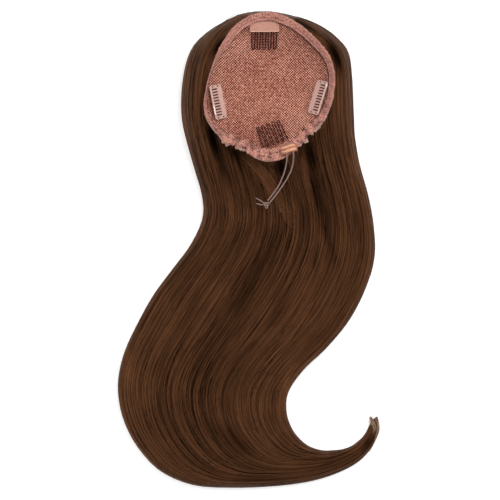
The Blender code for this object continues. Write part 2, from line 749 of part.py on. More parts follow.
def build_knot(parts, cutters, cord_yarn):
    """The knot that joins both strands, with the two short tails past it."""
    mesh = bpy.data.meshes.new("drawstring_knot")
    shape = bmesh.new()
    bmesh.ops.create_uvsphere(shape, u_segments=10, v_segments=7, radius=0.5)
    bmesh.ops.scale(shape, verts=shape.verts, vec=KNOT_SIZE)
    shape.to_mesh(mesh)
    shape.free()
    knot = add_object("drawstring_knot", mesh, cord_yarn, parts)
    knot.location = KNOT_CENTRE
    for number, end in enumerate(TAIL_ENDS):
        start = Vector(KNOT_CENTRE)
        route = [start.lerp(Vector(end), share) for share in (0.1, 0.4, 0.7, 1.0)]
        name = f"knot_tail_{number}"
        flat_tail = tube(name, route, TAIL_DIAMETER, None, cutters, resolution=1)
        tail = as_mesh_object(flat_tail, name, None, cutters)
        tail.hide_render = True
        tail.display_type = "WIRE"
        joined = knot.modifiers.new(f"tail_{number}", "BOOLEAN")
        joined.operation = "UNION"
        joined.object = tail
    return knot


def stand_on_origin(parts):
    """Moves everything so that the origin is at the bottom centre of all but the drawstring."""
    bpy.context.view_layer.update()
    graph = bpy.context.evaluated_depsgraph_get()
    corners = []
    for thing in parts.objects:
        if thing.name not in CORD_PIECES:
            shown = thing.evaluated_get(graph)
            mesh = shown.to_mesh()
            corners += [thing.matrix_world @ vertex.co for vertex in mesh.vertices]
            shown.to_mesh_clear()
    low = Vector([min(corner[axis] for corner in corners) for axis in range(3)])
    high = Vector([max(corner[axis] for corner in corners) for axis in range(3)])
    shift = Vector((-(low.x + high.x) / 2, -(low.y + high.y) / 2, -low.z))
    for thing in bpy.data.objects:
        thing.location = thing.location + shift


def main():
    clear_scene()
    parts = new_collection("ponytail_hairpiece")
    cutters = new_collection("cutters")
    net_cloth = new_material("pink_net", (0.38, 0.16, 0.12), 0.85)
    casing_cloth = new_material("pink_casing", (0.44, 0.18, 0.14), 0.85)
    pad_cloth = new_material("peach_felt", (0.59, 0.29, 0.22), 0.9)
    ribbon_cloth = new_material("tan_ribbon", (0.55, 0.24, 0.12), 0.7)
    cord_yarn = new_material("mauve_cord", (0.26, 0.16, 0.13), 0.7)
    lacquered_wire = new_material("dark_wire", (0.05, 0.02, 0.02), 0.4)
    clear_plastic = new_material("clear_plastic", (0.75, 0.62, 0.58), 0.2)
    hair_fibre = new_material("chestnut_hair", (0.05, 0.018, 0.008), 0.45)
    hollow = build_cap_hollow(cutters)
    build_hair(parts, hollow, hair_fibre)
    build_cap_net(parts, net_cloth)
    build_rim_band(parts, casing_cloth)
    build_padded_comb(parts, lacquered_wire, pad_cloth)
    build_wire_comb("comb_bottom", parts, lacquered_wire)
    build_side_comb("comb_left", parts, clear_plastic)
    build_side_comb("comb_right", parts, clear_plastic)
    build_cord_tunnel(parts, cutters, ribbon_cloth)
    build_drawstring(parts, cord_yarn)
    build_knot(parts, cutters, cord_yarn)
    stand_on_origin(parts)


main()
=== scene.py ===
# %% [markdown]
# # A drawstring ponytail hairpiece, laid on its back
# The hairpiece lies with the inside of its net cap facing up: a gathered casing round the rim,
# four sewn-in combs, a knotted drawstring, and long hair that grows from the outside of the cap
# and falls away in an S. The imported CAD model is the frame, and every piece here is made in the
# same metres, so a piece goes straight where the CAD has it.

import math

import bpy
import numpy as np
from mathutils import Matrix, Vector, noise
from mathutils.bvhtree import BVHTree


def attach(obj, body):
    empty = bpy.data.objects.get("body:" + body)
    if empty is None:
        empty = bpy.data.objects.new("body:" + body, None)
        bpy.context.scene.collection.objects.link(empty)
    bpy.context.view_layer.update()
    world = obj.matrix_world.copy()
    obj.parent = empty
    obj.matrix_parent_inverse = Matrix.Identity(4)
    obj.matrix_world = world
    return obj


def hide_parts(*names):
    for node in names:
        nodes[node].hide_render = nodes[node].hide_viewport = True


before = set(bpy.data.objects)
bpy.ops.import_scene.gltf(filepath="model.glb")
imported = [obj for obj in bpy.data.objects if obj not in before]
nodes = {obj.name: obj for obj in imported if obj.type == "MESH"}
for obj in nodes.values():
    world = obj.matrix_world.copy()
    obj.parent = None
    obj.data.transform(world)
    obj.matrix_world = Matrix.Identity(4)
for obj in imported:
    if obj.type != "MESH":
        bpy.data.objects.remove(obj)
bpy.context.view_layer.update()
MM = 0.001
print("nodes:", ", ".join(sorted(nodes)))

# %% [markdown]
# ## The camera
# The photograph looks straight down from far away: nothing leans outwards at its edges. A long
# lens from a few metres up gives that flat look. Its distance follows from how many metres of
# floor the picture's width takes in.

# %% Camera
PICTURE_WIDTH = 0.5365  # metres across the picture
LENS_MM = 300
SENSOR_MM = 36
PICTURE_MIDDLE = (0.0015, -0.0004)

camera_height = PICTURE_WIDTH * LENS_MM / SENSOR_MM
bpy.ops.object.camera_add(location=(*PICTURE_MIDDLE, 0.030 + camera_height), rotation=(0, 0, 0))
camera = bpy.context.object
camera.data.lens = LENS_MM
camera.data.sensor_width = SENSOR_MM
camera.data.clip_end = 30
bpy.context.scene.camera = camera
print("camera height", round(camera.location.z, 3), "m")

# %% [markdown]
# ## Helpers for materials
# Colours are picked as sRGB hex values, as in any paint program, but a shader works with linear
# light, so one function turns one into the other. One adds a node with its settings and its
# links. Another starts a material and gives back its Principled shader. Most things here are
# yarn, felt, lacquer or moulded plastic, whose colour varies at the size of its grain, so the
# last function makes such a material from two colours and a grain size.

# %% Material helpers
def linear(hex_colour):
    """An sRGB hex colour as linear red, green, blue and alpha."""
    channels = [int(hex_colour[i : i + 2], 16) / 255 for i in (1, 3, 5)]
    curve = [c / 12.92 if c <= 0.04045 else ((c + 0.055) / 1.055) ** 2.4 for c in channels]
    return (*curve, 1.0)


def add_node(material, kind, inputs, **settings):
    """Adds a node. inputs takes a socket's name or number to a value, an output or a node."""
    node = material.node_tree.nodes.new("ShaderNode" + kind)
    for name, value in settings.items():
        setattr(node, name, value)
    set_inputs(material, node, inputs)
    return node


def set_inputs(material, node, inputs):
    """Sets or links sockets. A node is linked by its first open output, and a hex is a colour."""
    for socket, value in inputs.items():
        if isinstance(value, str):
            value = linear(value)
        if isinstance(value, bpy.types.Node):
            value = next(output for output in value.outputs if output.enabled)
        if isinstance(value, bpy.types.NodeSocket):
            material.node_tree.links.new(value, node.inputs[socket])
        else:
            node.inputs[socket].default_value = value


def start_material(name, **shader_values):
    """A new material and its Principled shader, with the values that are the same all over."""
    material = bpy.data.materials.new(name)
    material.use_nodes = True
    shader = material.node_tree.nodes["Principled BSDF"]
    set_inputs(material, shader, {key.replace("_", " "): v for key, v in shader_values.items()})
    return material, shader


def grained_material(name, dark, light, grain, detail=2.0, **more):
    """A material whose shade follows one fine noise with grains of a size in metres.

    more may hold harsh (the noise's roughness), spread (the part of the noise that the two
    shades share), gloss (low and high roughness), relief (strength and height of a bump) and
    values for the shader.
    """
    harsh, spread = more.pop("harsh", 0.5), more.pop("spread", None)
    gloss, relief = more.pop("gloss", None), more.pop("relief", None)
    made, shader = start_material(name, **more)
    place = add_node(made, "TexCoord", {}).outputs["Object"]
    noise_values = {"Vector": place, "Scale": 1 / grain, "Detail": detail, "Roughness": harsh}
    grains = share = add_node(made, "TexNoise", noise_values)
    if spread:
        low, high = spread
        share = add_node(made, "MapRange", {"Value": grains, "From Min": low, "From Max": high})
    dyed = add_node(made, "Mix", {0: share, 6: dark, 7: light}, data_type="RGBA")
    set_inputs(made, shader, {"Base Color": dyed})
    if gloss:
        low, high = gloss
        matt = add_node(made, "MapRange", {"Value": grains, "To Min": low, "To Max": high})
        set_inputs(made, shader, {"Roughness": matt})
    if relief:
        strength, height = relief
        bump = add_node(made, "Bump", {"Height": grains, "Strength": strength, "Distance": height})
        set_inputs(made, shader, {"Normal": bump})
    return made


print("white is", linear("#ffffff"), "and middle grey", [round(c, 3) for c in linear("#808080")])

# %% [markdown]
# ## Helpers for shapes
# Cords, casings and locks of hair are all lofts: rings of points, one after another, with a skin
# between them. No primitive has such a shape, so these pieces are skinned from their rings, and
# the loft also lays out a UV map that follows the piece, which a weave or a fibre needs.

# %% Shape helpers
def select_only(*pieces):
    """Makes these objects the only selected ones and the first active, as clicks would."""
    bpy.ops.object.select_all(action="DESELECT")
    for piece in pieces:
        piece.select_set(True)
    bpy.context.view_layer.objects.active = pieces[0]


def start_from(primitive, name, **values):
    """Adds a primitive with its values and names it."""
    bpy.ops.object.select_all(action="DESELECT")
    primitive(**values)
    bpy.context.object.name = name
    return bpy.context.object


def points_of(piece):
    """The places of a mesh's vertices, as rows of x, y and z."""
    spots = np.zeros(len(piece.data.vertices) * 3)
    piece.data.vertices.foreach_get("co", spots)
    return spots.reshape(-1, 3)


def face_outwards(piece):
    """Turns every face of a closed piece outwards."""
    select_only(piece)
    bpy.ops.object.mode_set(mode="EDIT")
    bpy.ops.mesh.select_all(action="SELECT")
    bpy.ops.mesh.normals_make_consistent(inside=False)
    bpy.ops.object.mode_set(mode="OBJECT")


def skin(name, points, faces, corner_uv):
    """A smooth mesh object from arrays of points, of faces and of a UV pair for each corner."""
    mesh = bpy.data.meshes.new(name)
    corners = np.concatenate([group.ravel() for group in faces])
    sizes = np.concatenate([np.full(len(group), group.shape[1]) for group in faces])
    starts = np.concatenate([[0], np.cumsum(sizes)[:-1]])
    mesh.vertices.add(len(points))
    mesh.vertices.foreach_set("co", np.asarray(points, float).ravel())
    mesh.loops.add(len(corners))
    mesh.loops.foreach_set("vertex_index", corners.astype(np.int32))
    mesh.polygons.add(len(sizes))
    mesh.polygons.foreach_set("loop_start", starts.astype(np.int32))
    mesh.update(calc_edges=True)
    mesh.uv_layers.new(name="flow").data.foreach_set("uv", np.concatenate(corner_uv).ravel())
    mesh.shade_smooth()
    mesh.validate()
    piece = bpy.data.objects.new(name, mesh)
    bpy.context.scene.collection.objects.link(piece)
    return piece


def index_pairs(rows, columns):
    """Every pair of a row's and a column's number, as two flat arrays."""
    return [grid.ravel() for grid in np.indices((rows, columns))]


def loft(name, rings, joined=False):
    """Skins rings of points. Its UV map runs along the rings in x and round each one in y."""
    rings = np.asarray(rings, float)
    count, around = rings.shape[:2]
    steps = count if joined else count - 1
    i, j = index_pairs(steps, around)
    pairs = [(0, 0), (1, 0), (1, 1), (0, 1)]
    quads = np.stack([(i + a) % count * around + (j + b) % around for a, b in pairs], 1)
    uv = np.stack([np.stack([(i + a) / steps, (j + b) / around], 1) for a, b in pairs], 1)
    faces, corner_uv = [quads], [uv.reshape(-1, 2)]
    if not joined:
        faces.append(np.stack([np.arange(around), np.arange(around)[::-1] + (count - 1) * around]))
        corner_uv.append(np.tile([[0.0, 0.5]], (2 * around, 1)))
    piece = skin(name, rings.reshape(-1, 3), faces, corner_uv)
    face_outwards(piece)
    return piece


def apply_all(piece):
    """Applies every modifier, then the object's place, so that the mesh holds it all."""
    select_only(piece)
    for modifier in list(piece.modifiers):
        bpy.ops.object.modifier_apply(modifier=modifier.name)
    bpy.ops.object.transform_apply(location=True, rotation=True, scale=True)


def finish_piece(piece, material, slot, *replaced):
    """Gives a piece its material and its body, and hides the CAD nodes it stands for. The slot
    argument is not used.
    """
    piece.data.materials.clear()
    piece.data.materials.append(material)
    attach(piece, "root")
    if replaced:
        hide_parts(*replaced)
    triangles = sum(len(face.vertices) - 2 for face in piece.data.polygons)
    print(f"{piece.name}: {triangles} triangles")

# %% [markdown]
# ## The drawstring
# A drawstring is limp twisted yarn, about 1.6 mm thick. Its two ends leave the cloth tunnel side
# by side, drop over the rim onto the hair and meet in a knot with two short tails. Both routes
# repeat the points that the CAD solids follow. The twist is real geometry: a section with
# three lobes that turns as it goes along.

# %% Cord routes
CAD_SHIFT = Vector((-0.0001, 0.0007, 0))  # the part's own move onto its origin
CORD_DIAMETER = 1.6 * MM
PLY_TWIST_LENGTH = 5.0 * MM  # one whole turn of the three plies
PLY_DEPTH = 0.10  # of the grooves between them, as a share of the radius
TAIL_DIAMETER = 1.3 * MM
LEFT_STRAND_ROUTE = [
    (0.0399, 0.1050, 0.0513),
    (0.0406, 0.1029, 0.0524),
    (0.0410, 0.1010, 0.0528),
    (0.0411, 0.0986, 0.0512),
    (0.0410, 0.0962, 0.0476),
    (0.0407, 0.0936, 0.0434),
    (0.0403, 0.0906, 0.0396),
    (0.0396, 0.0870, 0.0366),
    (0.0383, 0.0820, 0.0342),
    (0.0363, 0.0767, 0.0324),
    (0.0325, 0.0683, 0.0298),
    (0.0268, 0.0600, 0.0284),
    (0.0206, 0.0519, 0.0282),
]
RIGHT_STRAND_ROUTE = [
    (0.0468, 0.1073, 0.0513),
    (0.0475, 0.1052, 0.0524),
    (0.0479, 0.1033, 0.0528),
    (0.0481, 0.1009, 0.0512),
    (0.0481, 0.0985, 0.0476),
    (0.0479, 0.0958, 0.0434),
    (0.0476, 0.0926, 0.0396),
    (0.0469, 0.0888, 0.0368),
    (0.0453, 0.0835, 0.0346),
    (0.0423, 0.0773, 0.0328),
    (0.0378, 0.0698, 0.0305),
    (0.0305, 0.0595, 0.0284),
    (0.0226, 0.0496, 0.0282),
]
KNOT_CENTRE = Vector((0.0192, 0.0474, 0.0286)) + CAD_SHIFT
TAIL_ENDS = [(0.0079, 0.0546, 0.0262), (0.0086, 0.0489, 0.0255)]


def smooth_rows(rows, positions, closed=False):
    """Rows of numbers read at fractions of a row, along a Catmull-Rom curve."""
    rows = np.asarray(rows, float)
    positions = np.asarray(positions, float)
    low = np.floor(positions).astype(int)
    if not closed:
        low = np.minimum(low, len(rows) - 2)
    share = (positions - low)[..., None]
    wrap = (lambda k: k % len(rows)) if closed else (lambda k: np.clip(k, 0, len(rows) - 1))
    a, b, c, d = (rows[wrap(low + step)] for step in (-1, 0, 1, 2))
    bend = 2 * a - 5 * b + 4 * c - d
    return 0.5 * (2 * b + (c - a) * share + bend * share**2 + (3 * b - a - 3 * c + d) * share**3)


def length_along(line):
    """How far along a line each of its points lies."""
    return np.concatenate([[0], np.cumsum(np.linalg.norm(np.diff(line, axis=0), axis=1))])


def read_line(line, known, wanted):
    """A line read at wanted places, where known holds the places of its own points."""
    return np.stack([np.interp(wanted, known, column) for column in np.asarray(line).T], 1)


def even_route(route, spacing):
    """A smooth curve through the points of a route, cut into steps of about one length."""
    fine = smooth_rows(route, np.linspace(0, len(route) - 1, 40 * len(route)))
    gone = length_along(fine)
    wanted = np.linspace(0, gone[-1], max(int(gone[-1] / spacing), 2) + 1)
    return read_line(fine, gone, wanted), gone[-1]


def frames_along(points):
    """A sideways and an upward unit vector at every point of a line."""
    forward = np.gradient(points, axis=-2)
    forward /= np.linalg.norm(forward, axis=-1, keepdims=True)
    sideways = np.cross(forward, [0.0, 0.0, 1.0])
    sideways /= np.maximum(np.linalg.norm(sideways, axis=-1, keepdims=True), 1e-9)
    return sideways, np.cross(sideways, forward)


def twisted_cord(name, route, diameter, around=18):
    """A round cord of three plies along a route, with its centreline and its length."""
    points, length = even_route(route, 0.55 * MM)
    sideways, upward = frames_along(points)
    turn = np.linspace(0, math.tau, around, endpoint=False)[None, :]
    along = np.linspace(0, length, len(points))[:, None]
    lobes = 1 - PLY_DEPTH * (0.5 - 0.5 * np.cos(3 * (turn - math.tau * along / PLY_TWIST_LENGTH)))
    radius = (diameter / 2 * lobes)[..., None]
    turn = turn[..., None]
    round_it = np.cos(turn) * sideways[:, None] + np.sin(turn) * upward[:, None]
    rings = points[:, None] + radius * round_it
    return loft(name, rings), points, length


shift = np.array(CAD_SHIFT)
cords = {}
for side, route in (("left", LEFT_STRAND_ROUTE), ("right", RIGHT_STRAND_ROUTE)):
    cords[side] = twisted_cord(f"cord_{side}", np.array(route) + shift, CORD_DIAMETER)
    print(side, "strand", round(cords[side][2], 4), "m")

# %% [markdown]
# ## The knot
# Both ends are tied together in one overhand knot. An overhand knot is a trefoil that has been
# pulled tight, and a trefoil has a short formula, so the knot is that curve with a cord's
# thickness, flattened onto the hair. The tails are two more lengths of cord, a little thinner
# where the yarn has been pulled.

# %% Knot and tails
KNOT_SIZE = (6.4 * MM, 8.6 * MM, 4.4 * MM)
KNOT_YARN = 0.75 * MM  # radius of the pulled cord
TREFOIL_REACH = np.array([2.7, 3.0, 1.0])  # how far the plain curve goes each way
turn = np.linspace(0, math.tau, 120, endpoint=False)
sines, cosines = np.sin(turn), np.cos(turn)
curve = [sines + 2 * np.sin(2 * turn), cosines - 2 * np.cos(2 * turn), -np.sin(3 * turn)]
trefoil = np.stack(curve, 1)
reach = (np.array(KNOT_SIZE) / 2 - KNOT_YARN) / TREFOIL_REACH
line = trefoil * reach + np.array(KNOT_CENTRE)
forward = np.roll(line, -1, 0) - np.roll(line, 1, 0)
forward /= np.linalg.norm(forward, axis=1, keepdims=True)
sideways = np.cross(forward, [0, 0, 1.0])
sideways /= np.linalg.norm(sideways, axis=1, keepdims=True)
upward = np.cross(sideways, forward)
spin = np.linspace(0, math.tau, 14, endpoint=False)[None, :, None]
round_it = np.cos(spin) * sideways[:, None] + np.sin(spin) * upward[:, None]
rings = line[:, None] + KNOT_YARN * round_it
knot = loft("cord_knot", rings, joined=True)
tails = []
for number, end in enumerate(TAIL_ENDS):
    tail_end = np.array(end) + shift
    start = np.array(KNOT_CENTRE)
    middle = start * 0.45 + tail_end * 0.55 + np.array([0, 0.6 - 1.2 * number, -0.2]) * MM
    tail_route = [start, middle, tail_end]
    tails.append(twisted_cord(f"cord_tail_{number + 1}", tail_route, TAIL_DIAMETER)[0])
print("knot", [round(size * 1000, 1) for size in KNOT_SIZE], "mm")

# %% [markdown]
# ### Cord material: twisted polyester yarn
# Braided or twisted polyester cord has a soft sheen and a slightly uneven dye. Here a fine noise
# at fibre size changes both the colour and the height of the surface.

# %% Cord material
# Fibres are far thinner than a pixel, so they are drawn 0.6 mm long and wide.
yarn_cloth = grained_material(
    "twisted_polyester_yarn", "#563831", "#9a786d", 0.6 * MM, 3.0,
    relief=(0.5, 0.2 * MM), Roughness=0.6, Sheen_Weight=0.3,
)
finish_piece(knot, yarn_cloth, "cord", "drawstring_knot")
for tail in tails:
    finish_piece(tail, yarn_cloth, "cord")
for side, (strand, path, length) in cords.items():
    finish_piece(strand, yarn_cloth, "cord", f"drawstring_{side}")

# %% [markdown]
# ## The rim, as a table
# The rim isn't a circle: it is pulled in at the front left, stands up along the right and lies
# wide and ruffled at the bottom, where the drawstring has gathered it. One table, read every
# sixteenth of a turn, holds all of that, and the net, the casing and its frill all read it.

# %% Rim table
CAP_LENGTH = 161 * MM
CAP_WIDTH = 139 * MM
CAP_DEPTH = 36 * MM
BOWL_POWER = 2.0
NET_FLOOR = 9.5 * MM
BAND_WIDTH = 9.5 * MM
BAND_THICKNESS = 3.0 * MM
NET_WALL = 1.2 * MM
# reach: share of the ellipse out to the band's edge; tilt: 0 flat, 90 upright; width: share of
# BAND_WIDTH; lift: share of CAP_DEPTH; gather: how strongly the casing is ruffled.
RIM_ROWS = [
    (1.026, 52.0, 0.95, 0, 0.15),
    (1.036, 48.0, 0.95, 0.02, 0.05),
    (0.966, 38.0, 0.95, 0.01, 0),
    (0.962, 22.0, 0.95, 0.00, 0),
    (1.001, 12.0, 1.00, 0.00, 0),
    (0.980, 16.0, 1.00, 0.00, 0),
    (0.917, 34.0, 0.95, -0.02, 0),
    (0.908, 74.0, 0.62, -0.07, 0),
    (0.964, 84.0, 0.52, -0.09, 0.05),
    (1.040, 70.0, 0.62, -0.06, 0.20),
    (1.000, 46.0, 0.95, -0.02, 0.85),
    (0.957, 36.0, 1.25, 0, 1.00),
    (0.999, 22.0, 1.55, 0, 0.35),
    (0.966, 28.0, 1.14, 0, 0.45),
    (0.936, 42.0, 1.10, 0.02, 1.00),
    (0.981, 54.0, 1.00, 0.02, 0.45),
]
CAP_MIDDLE = np.array([0.0209, 0.1749])
# Where the cord has pulled the cloth in a little further: angle and spread in degrees, and depth.
PULL_ROWS = [(95, 30, 1.4 * MM), (250, 9, 2.8 * MM), (296, 9, 2.6 * MM), (313, 8, 2.4 * MM)]
# Where the band is turned under and only its thin edge shows, as a share taken off.
THIN_ROWS = [(172, 24, 0.62)]


def bumps(angle, rows):
    """A sum of soft bumps round the rim, from rows of angle, spread and size."""
    total = np.zeros_like(np.asarray(angle, float))
    for centre, spread, size in rows:
        away = (np.degrees(angle) - centre + 180) % 360 - 180
        total = total + size * np.exp(-((away / spread) ** 2))
    return total


def rim_at(angle):
    """Everything about the rim at angles in radians, as named arrays."""
    rows = smooth_rows(RIM_ROWS, np.mod(angle, math.tau) / math.tau * len(RIM_ROWS), closed=True)
    ellipse = np.hypot(np.cos(angle) / (CAP_WIDTH / 2), np.sin(angle) / (CAP_LENGTH / 2))
    tilt = np.radians(rows[..., 1])
    wide = rows[..., 2] * BAND_WIDTH / 2
    thick = BAND_THICKNESS / 2
    seen = np.hypot(wide * np.cos(tilt), thick * np.sin(tilt))
    reach = rows[..., 0] / ellipse - bumps(angle, PULL_ROWS)
    height = NET_FLOOR + CAP_DEPTH * (1 + rows[..., 3])
    below = wide * thick / np.hypot(thick * np.sin(tilt), wide * np.cos(tilt))
    return {
        "reach": reach,
        "tilt": tilt,
        "wide": wide,
        "middle": reach - seen,
        "height": height,
        "net_top": height - below - NET_WALL / 2,
        "gather": np.clip(rows[..., 4], 0, 1),
        "thickness": BAND_THICKNESS * (1 - bumps(angle, THIN_ROWS)),
    }


def cap_polar(x, y):
    """The angle round the cap of points on the table, and how far out they lie."""
    dx, dy = x - CAP_MIDDLE[0], y - CAP_MIDDLE[1]
    return np.arctan2(dy, dx), np.hypot(dx, dy)


def bowl_height(x, y):
    """The height of the inside of the net over points on the table."""
    angle, out = cap_polar(x, y)
    rim = rim_at(angle)
    share = np.clip(out / rim["middle"], 0, 1)
    return NET_FLOOR + (rim["net_top"] - NET_FLOOR) * share**BOWL_POWER


front_rim = rim_at(np.array(math.pi / 2))
print("cap reaches", round(float(front_rim["reach"]) * 1000, 1), "mm to the front")

# %% [markdown]
# ## The net
# The cap is a soft stretch net. Its two sets of threads cross the photograph at 45 degrees, about
# 2 mm apart, and the dark hair below shows through every hole. A grid primitive, turned by 45
# degrees, is the pattern of the threads: its vertices are dropped onto the bowl, what lies
# outside the rim is deleted, and a Wireframe modifier turns its edges into threads.

# %% Net
NET_PITCH = 2.0 * MM
NET_THREAD = 0.62 * MM
NET_SPAN = 215 * MM
NET_WANDER = (0.7 * MM, 0.7 * MM, 0.35 * MM)
WANDERS_PER_METRE = 45
NET_SEED = 7
# The threads are much finer than this on the real net. They are drawn as coarse as they need
# to be for the crossing lines to show at the photograph's size.
cells = round(NET_SPAN / NET_PITCH)
net = start_from(
    bpy.ops.mesh.primitive_grid_add, "net_mesh", x_subdivisions=cells, y_subdivisions=cells,
    size=NET_SPAN, location=(*CAP_MIDDLE, 0), rotation=(0, 0, math.radians(45)),
)
apply_all(net)
spots = points_of(net)
angle, out = cap_polar(spots[:, 0], spots[:, 1])
# Soft net never hangs perfectly true, so the threads wander a little sideways. The seed makes
# them wander the same way every time.
noise.seed_set(NET_SEED)
wander = np.array([noise.noise_vector(Vector(spot) * WANDERS_PER_METRE) for spot in spots])
wander *= NET_WANDER
spots[:, :2] += wander[:, :2]
spots[:, 2] = bowl_height(spots[:, 0], spots[:, 1]) - NET_WALL / 2 + wander[:, 2]
net.data.vertices.foreach_set("co", spots.ravel())
outside = out > rim_at(angle)["middle"] * 0.995
bpy.ops.object.mode_set(mode="EDIT")
bpy.ops.mesh.select_mode(type="VERT")
bpy.ops.mesh.select_all(action="DESELECT")
bpy.ops.object.mode_set(mode="OBJECT")
net.data.vertices.foreach_set("select", outside)
bpy.ops.object.mode_set(mode="EDIT")
bpy.ops.mesh.delete(type="VERT")
bpy.ops.object.mode_set(mode="OBJECT")
threads = net.modifiers.new("threads", "WIREFRAME")
threads.thickness = NET_THREAD
threads.use_even_offset = True
apply_all(net)
bpy.ops.object.shade_smooth_by_angle(angle=math.radians(60))
print("net of", cells, "by", cells, "cells, cut to the rim")

# %% [markdown]
# ### Net material: dyed nylon net
# Nylon net is dyed to a skin tone, here an old pink. Every thread catches light on top and goes
# dark where it crosses another, so the colour changes at the size of one cell, and a slow
# change across the cap stands for where the net is stretched.

# %% Net material
STRETCH_SIZE = 45 * MM
net_nylon, shader = start_material("dyed_nylon_net", Roughness=0.7, Sheen_Weight=0.1)
place = add_node(net_nylon, "TexCoord", {}).outputs["Object"]
cell_values = {"Vector": place, "Scale": 1 / (1.1 * NET_PITCH), "Detail": 2.0}
cell_noise = add_node(net_nylon, "TexNoise", cell_values)
slow_values = {"Vector": place, "Scale": 1 / STRETCH_SIZE, "Detail": 1.0}
slow_noise = add_node(net_nylon, "TexNoise", slow_values)
both = {0: slow_noise, 1: 0.4, 2: cell_noise}
mixed = add_node(net_nylon, "Math", both, operation="MULTIPLY_ADD")
share = add_node(net_nylon, "MapRange", {"Value": mixed, "From Min": 0.5, "From Max": 0.9})
dye = add_node(net_nylon, "Mix", {0: share, 6: "#a04f3d", 7: "#ffbaa2"}, data_type="RGBA")
bump = add_node(net_nylon, "Bump", {"Height": cell_noise, "Strength": 0.4, "Distance": 0.3 * MM})
set_inputs(net_nylon, shader, {"Base Color": dye, "Normal": bump})
finish_piece(net, net_nylon, "net", "cap_net")

# %% [markdown]
# ## The gathered casing
# The rim is a folded band of knitted cloth with the drawstring inside it. It starts as a torus
# primitive, whose rings are then laid onto the table's rim: each ring gets the width, the tilt
# and the height of the rim at its angle. Where the cord has gathered the cloth it stands up in
# uneven folds a few millimetres apart, and elsewhere it only has the small puckers of its seam.

# %% Casing
CASING_RINGS = 900
CASING_SIDES = 28
TORUS_RADIUS = 70 * MM
RIM_RADIUS = 75 * MM
# the folds' pitch and strength, from the broad ones to the narrow ones
FOLD_PITCHES = [(9.0 * MM, 0.6), (5.5 * MM, 1.0), (3.0 * MM, 1.0)]
FOLD_HEIGHT = 2.6 * MM
FOLD_REACH = 3.4 * MM
PUCKER_HEIGHT = 0.5 * MM
LUMPS_PER_METRE = 260
UP = np.array([0, 0, 1.0])


def fold_wave(angle, out):
    """Uneven gathers, from about -1 to 1, at angles round the rim and a place across the band."""
    angle, out = np.broadcast_arrays(np.asarray(angle, float), np.asarray(out, float))
    total = np.zeros(angle.shape)
    for pitch, weight in FOLD_PITCHES:
        spots = np.stack([np.cos(angle), np.sin(angle), 0.035 * out], -1) * RIM_RADIUS / pitch
        values = [noise.noise(Vector(spot)) for spot in spots.reshape(-1, 3)]
        total += weight * np.reshape(values, angle.shape)
    return total


def rim_frame(angle):
    """The rim's table at angles, with the band's middle line and its three directions."""
    rim = rim_at(angle)
    outward = np.stack([np.cos(angle), np.sin(angle), np.zeros_like(angle)], -1)
    flat, steep = np.cos(rim["tilt"])[..., None], np.sin(rim["tilt"])[..., None]
    line = outward * rim["middle"][..., None] + UP * rim["height"][..., None]
    line[..., :2] += CAP_MIDDLE
    return rim, line, outward, outward * flat + UP * steep, UP * flat - outward * steep


casing = start_from(
    bpy.ops.mesh.primitive_torus_add, "gathered_casing", major_segments=CASING_RINGS,
    minor_segments=CASING_SIDES, major_radius=TORUS_RADIUS, minor_radius=5 * MM, generate_uvs=True,
)
raw = points_of(casing)
angle = np.arctan2(raw[:, 1], raw[:, 0])
section = np.arctan2(raw[:, 2], np.hypot(raw[:, 0], raw[:, 1]) - TORUS_RADIUS)
rim, middle, outward, long_axis, face_axis = rim_frame(angle)
across, rise = np.cos(section), np.sin(section)
# A folded band is squarer than an ellipse: full to its edges, with a rounded fold at each.
across_square = np.sign(across) * np.abs(across) ** 0.8
rise_square = np.sign(rise) * np.abs(rise) ** 0.75
folds = fold_wave(angle, across)
upper = np.clip(0.35 + 0.65 * rise, 0, 1)
puckers = np.array([noise.noise(Vector((a * 90, b * 1.5, 3.0))) for a, b in zip(angle, across)])
skin_points = (middle + long_axis * 4 * MM * across[:, None]) * LUMPS_PER_METRE
lumps = np.array([noise.fractal(Vector(spot), 0.6, 2.2, 3) for spot in skin_points])
push = rim["gather"] * FOLD_HEIGHT * folds * upper + (puckers + lumps) * PUCKER_HEIGHT
push *= rim["thickness"] / BAND_THICKNESS
edge_push = (rim["gather"] * FOLD_REACH * folds + PUCKER_HEIGHT * puckers) * across**2
placed = middle + long_axis * ((rim["wide"] + edge_push) * across_square)[:, None]
placed += face_axis * (rim["thickness"] / 2 * rise_square + push * np.sign(rise))[:, None]
casing.data.vertices.foreach_set("co", placed.ravel())
fold_shade = np.clip(rim["gather"] * folds * 1.6, -1, 0.6).astype(np.float32)
casing.data.attributes.new("painted_fold_shading", "FLOAT", "POINT").data.foreach_set("value", fold_shade)
casing.data.update()
select_only(casing)
bpy.ops.object.shade_smooth()
print("casing folds from", round(push.min() / MM, 2), "to", round(push.max() / MM, 2), "mm")

# %% [markdown]
# ### Casing material: brushed tricot knit
# Tricot is a fine warp knit: matte, with rows of loops about a millimetre apart and a slight fuzz
# from brushing. The UV map runs round the rim, so the loop rows follow the band. The folds hold
# a little shade, which the casing keeps as an attribute, and a pale speckle stands for the
# brushed fuzz.

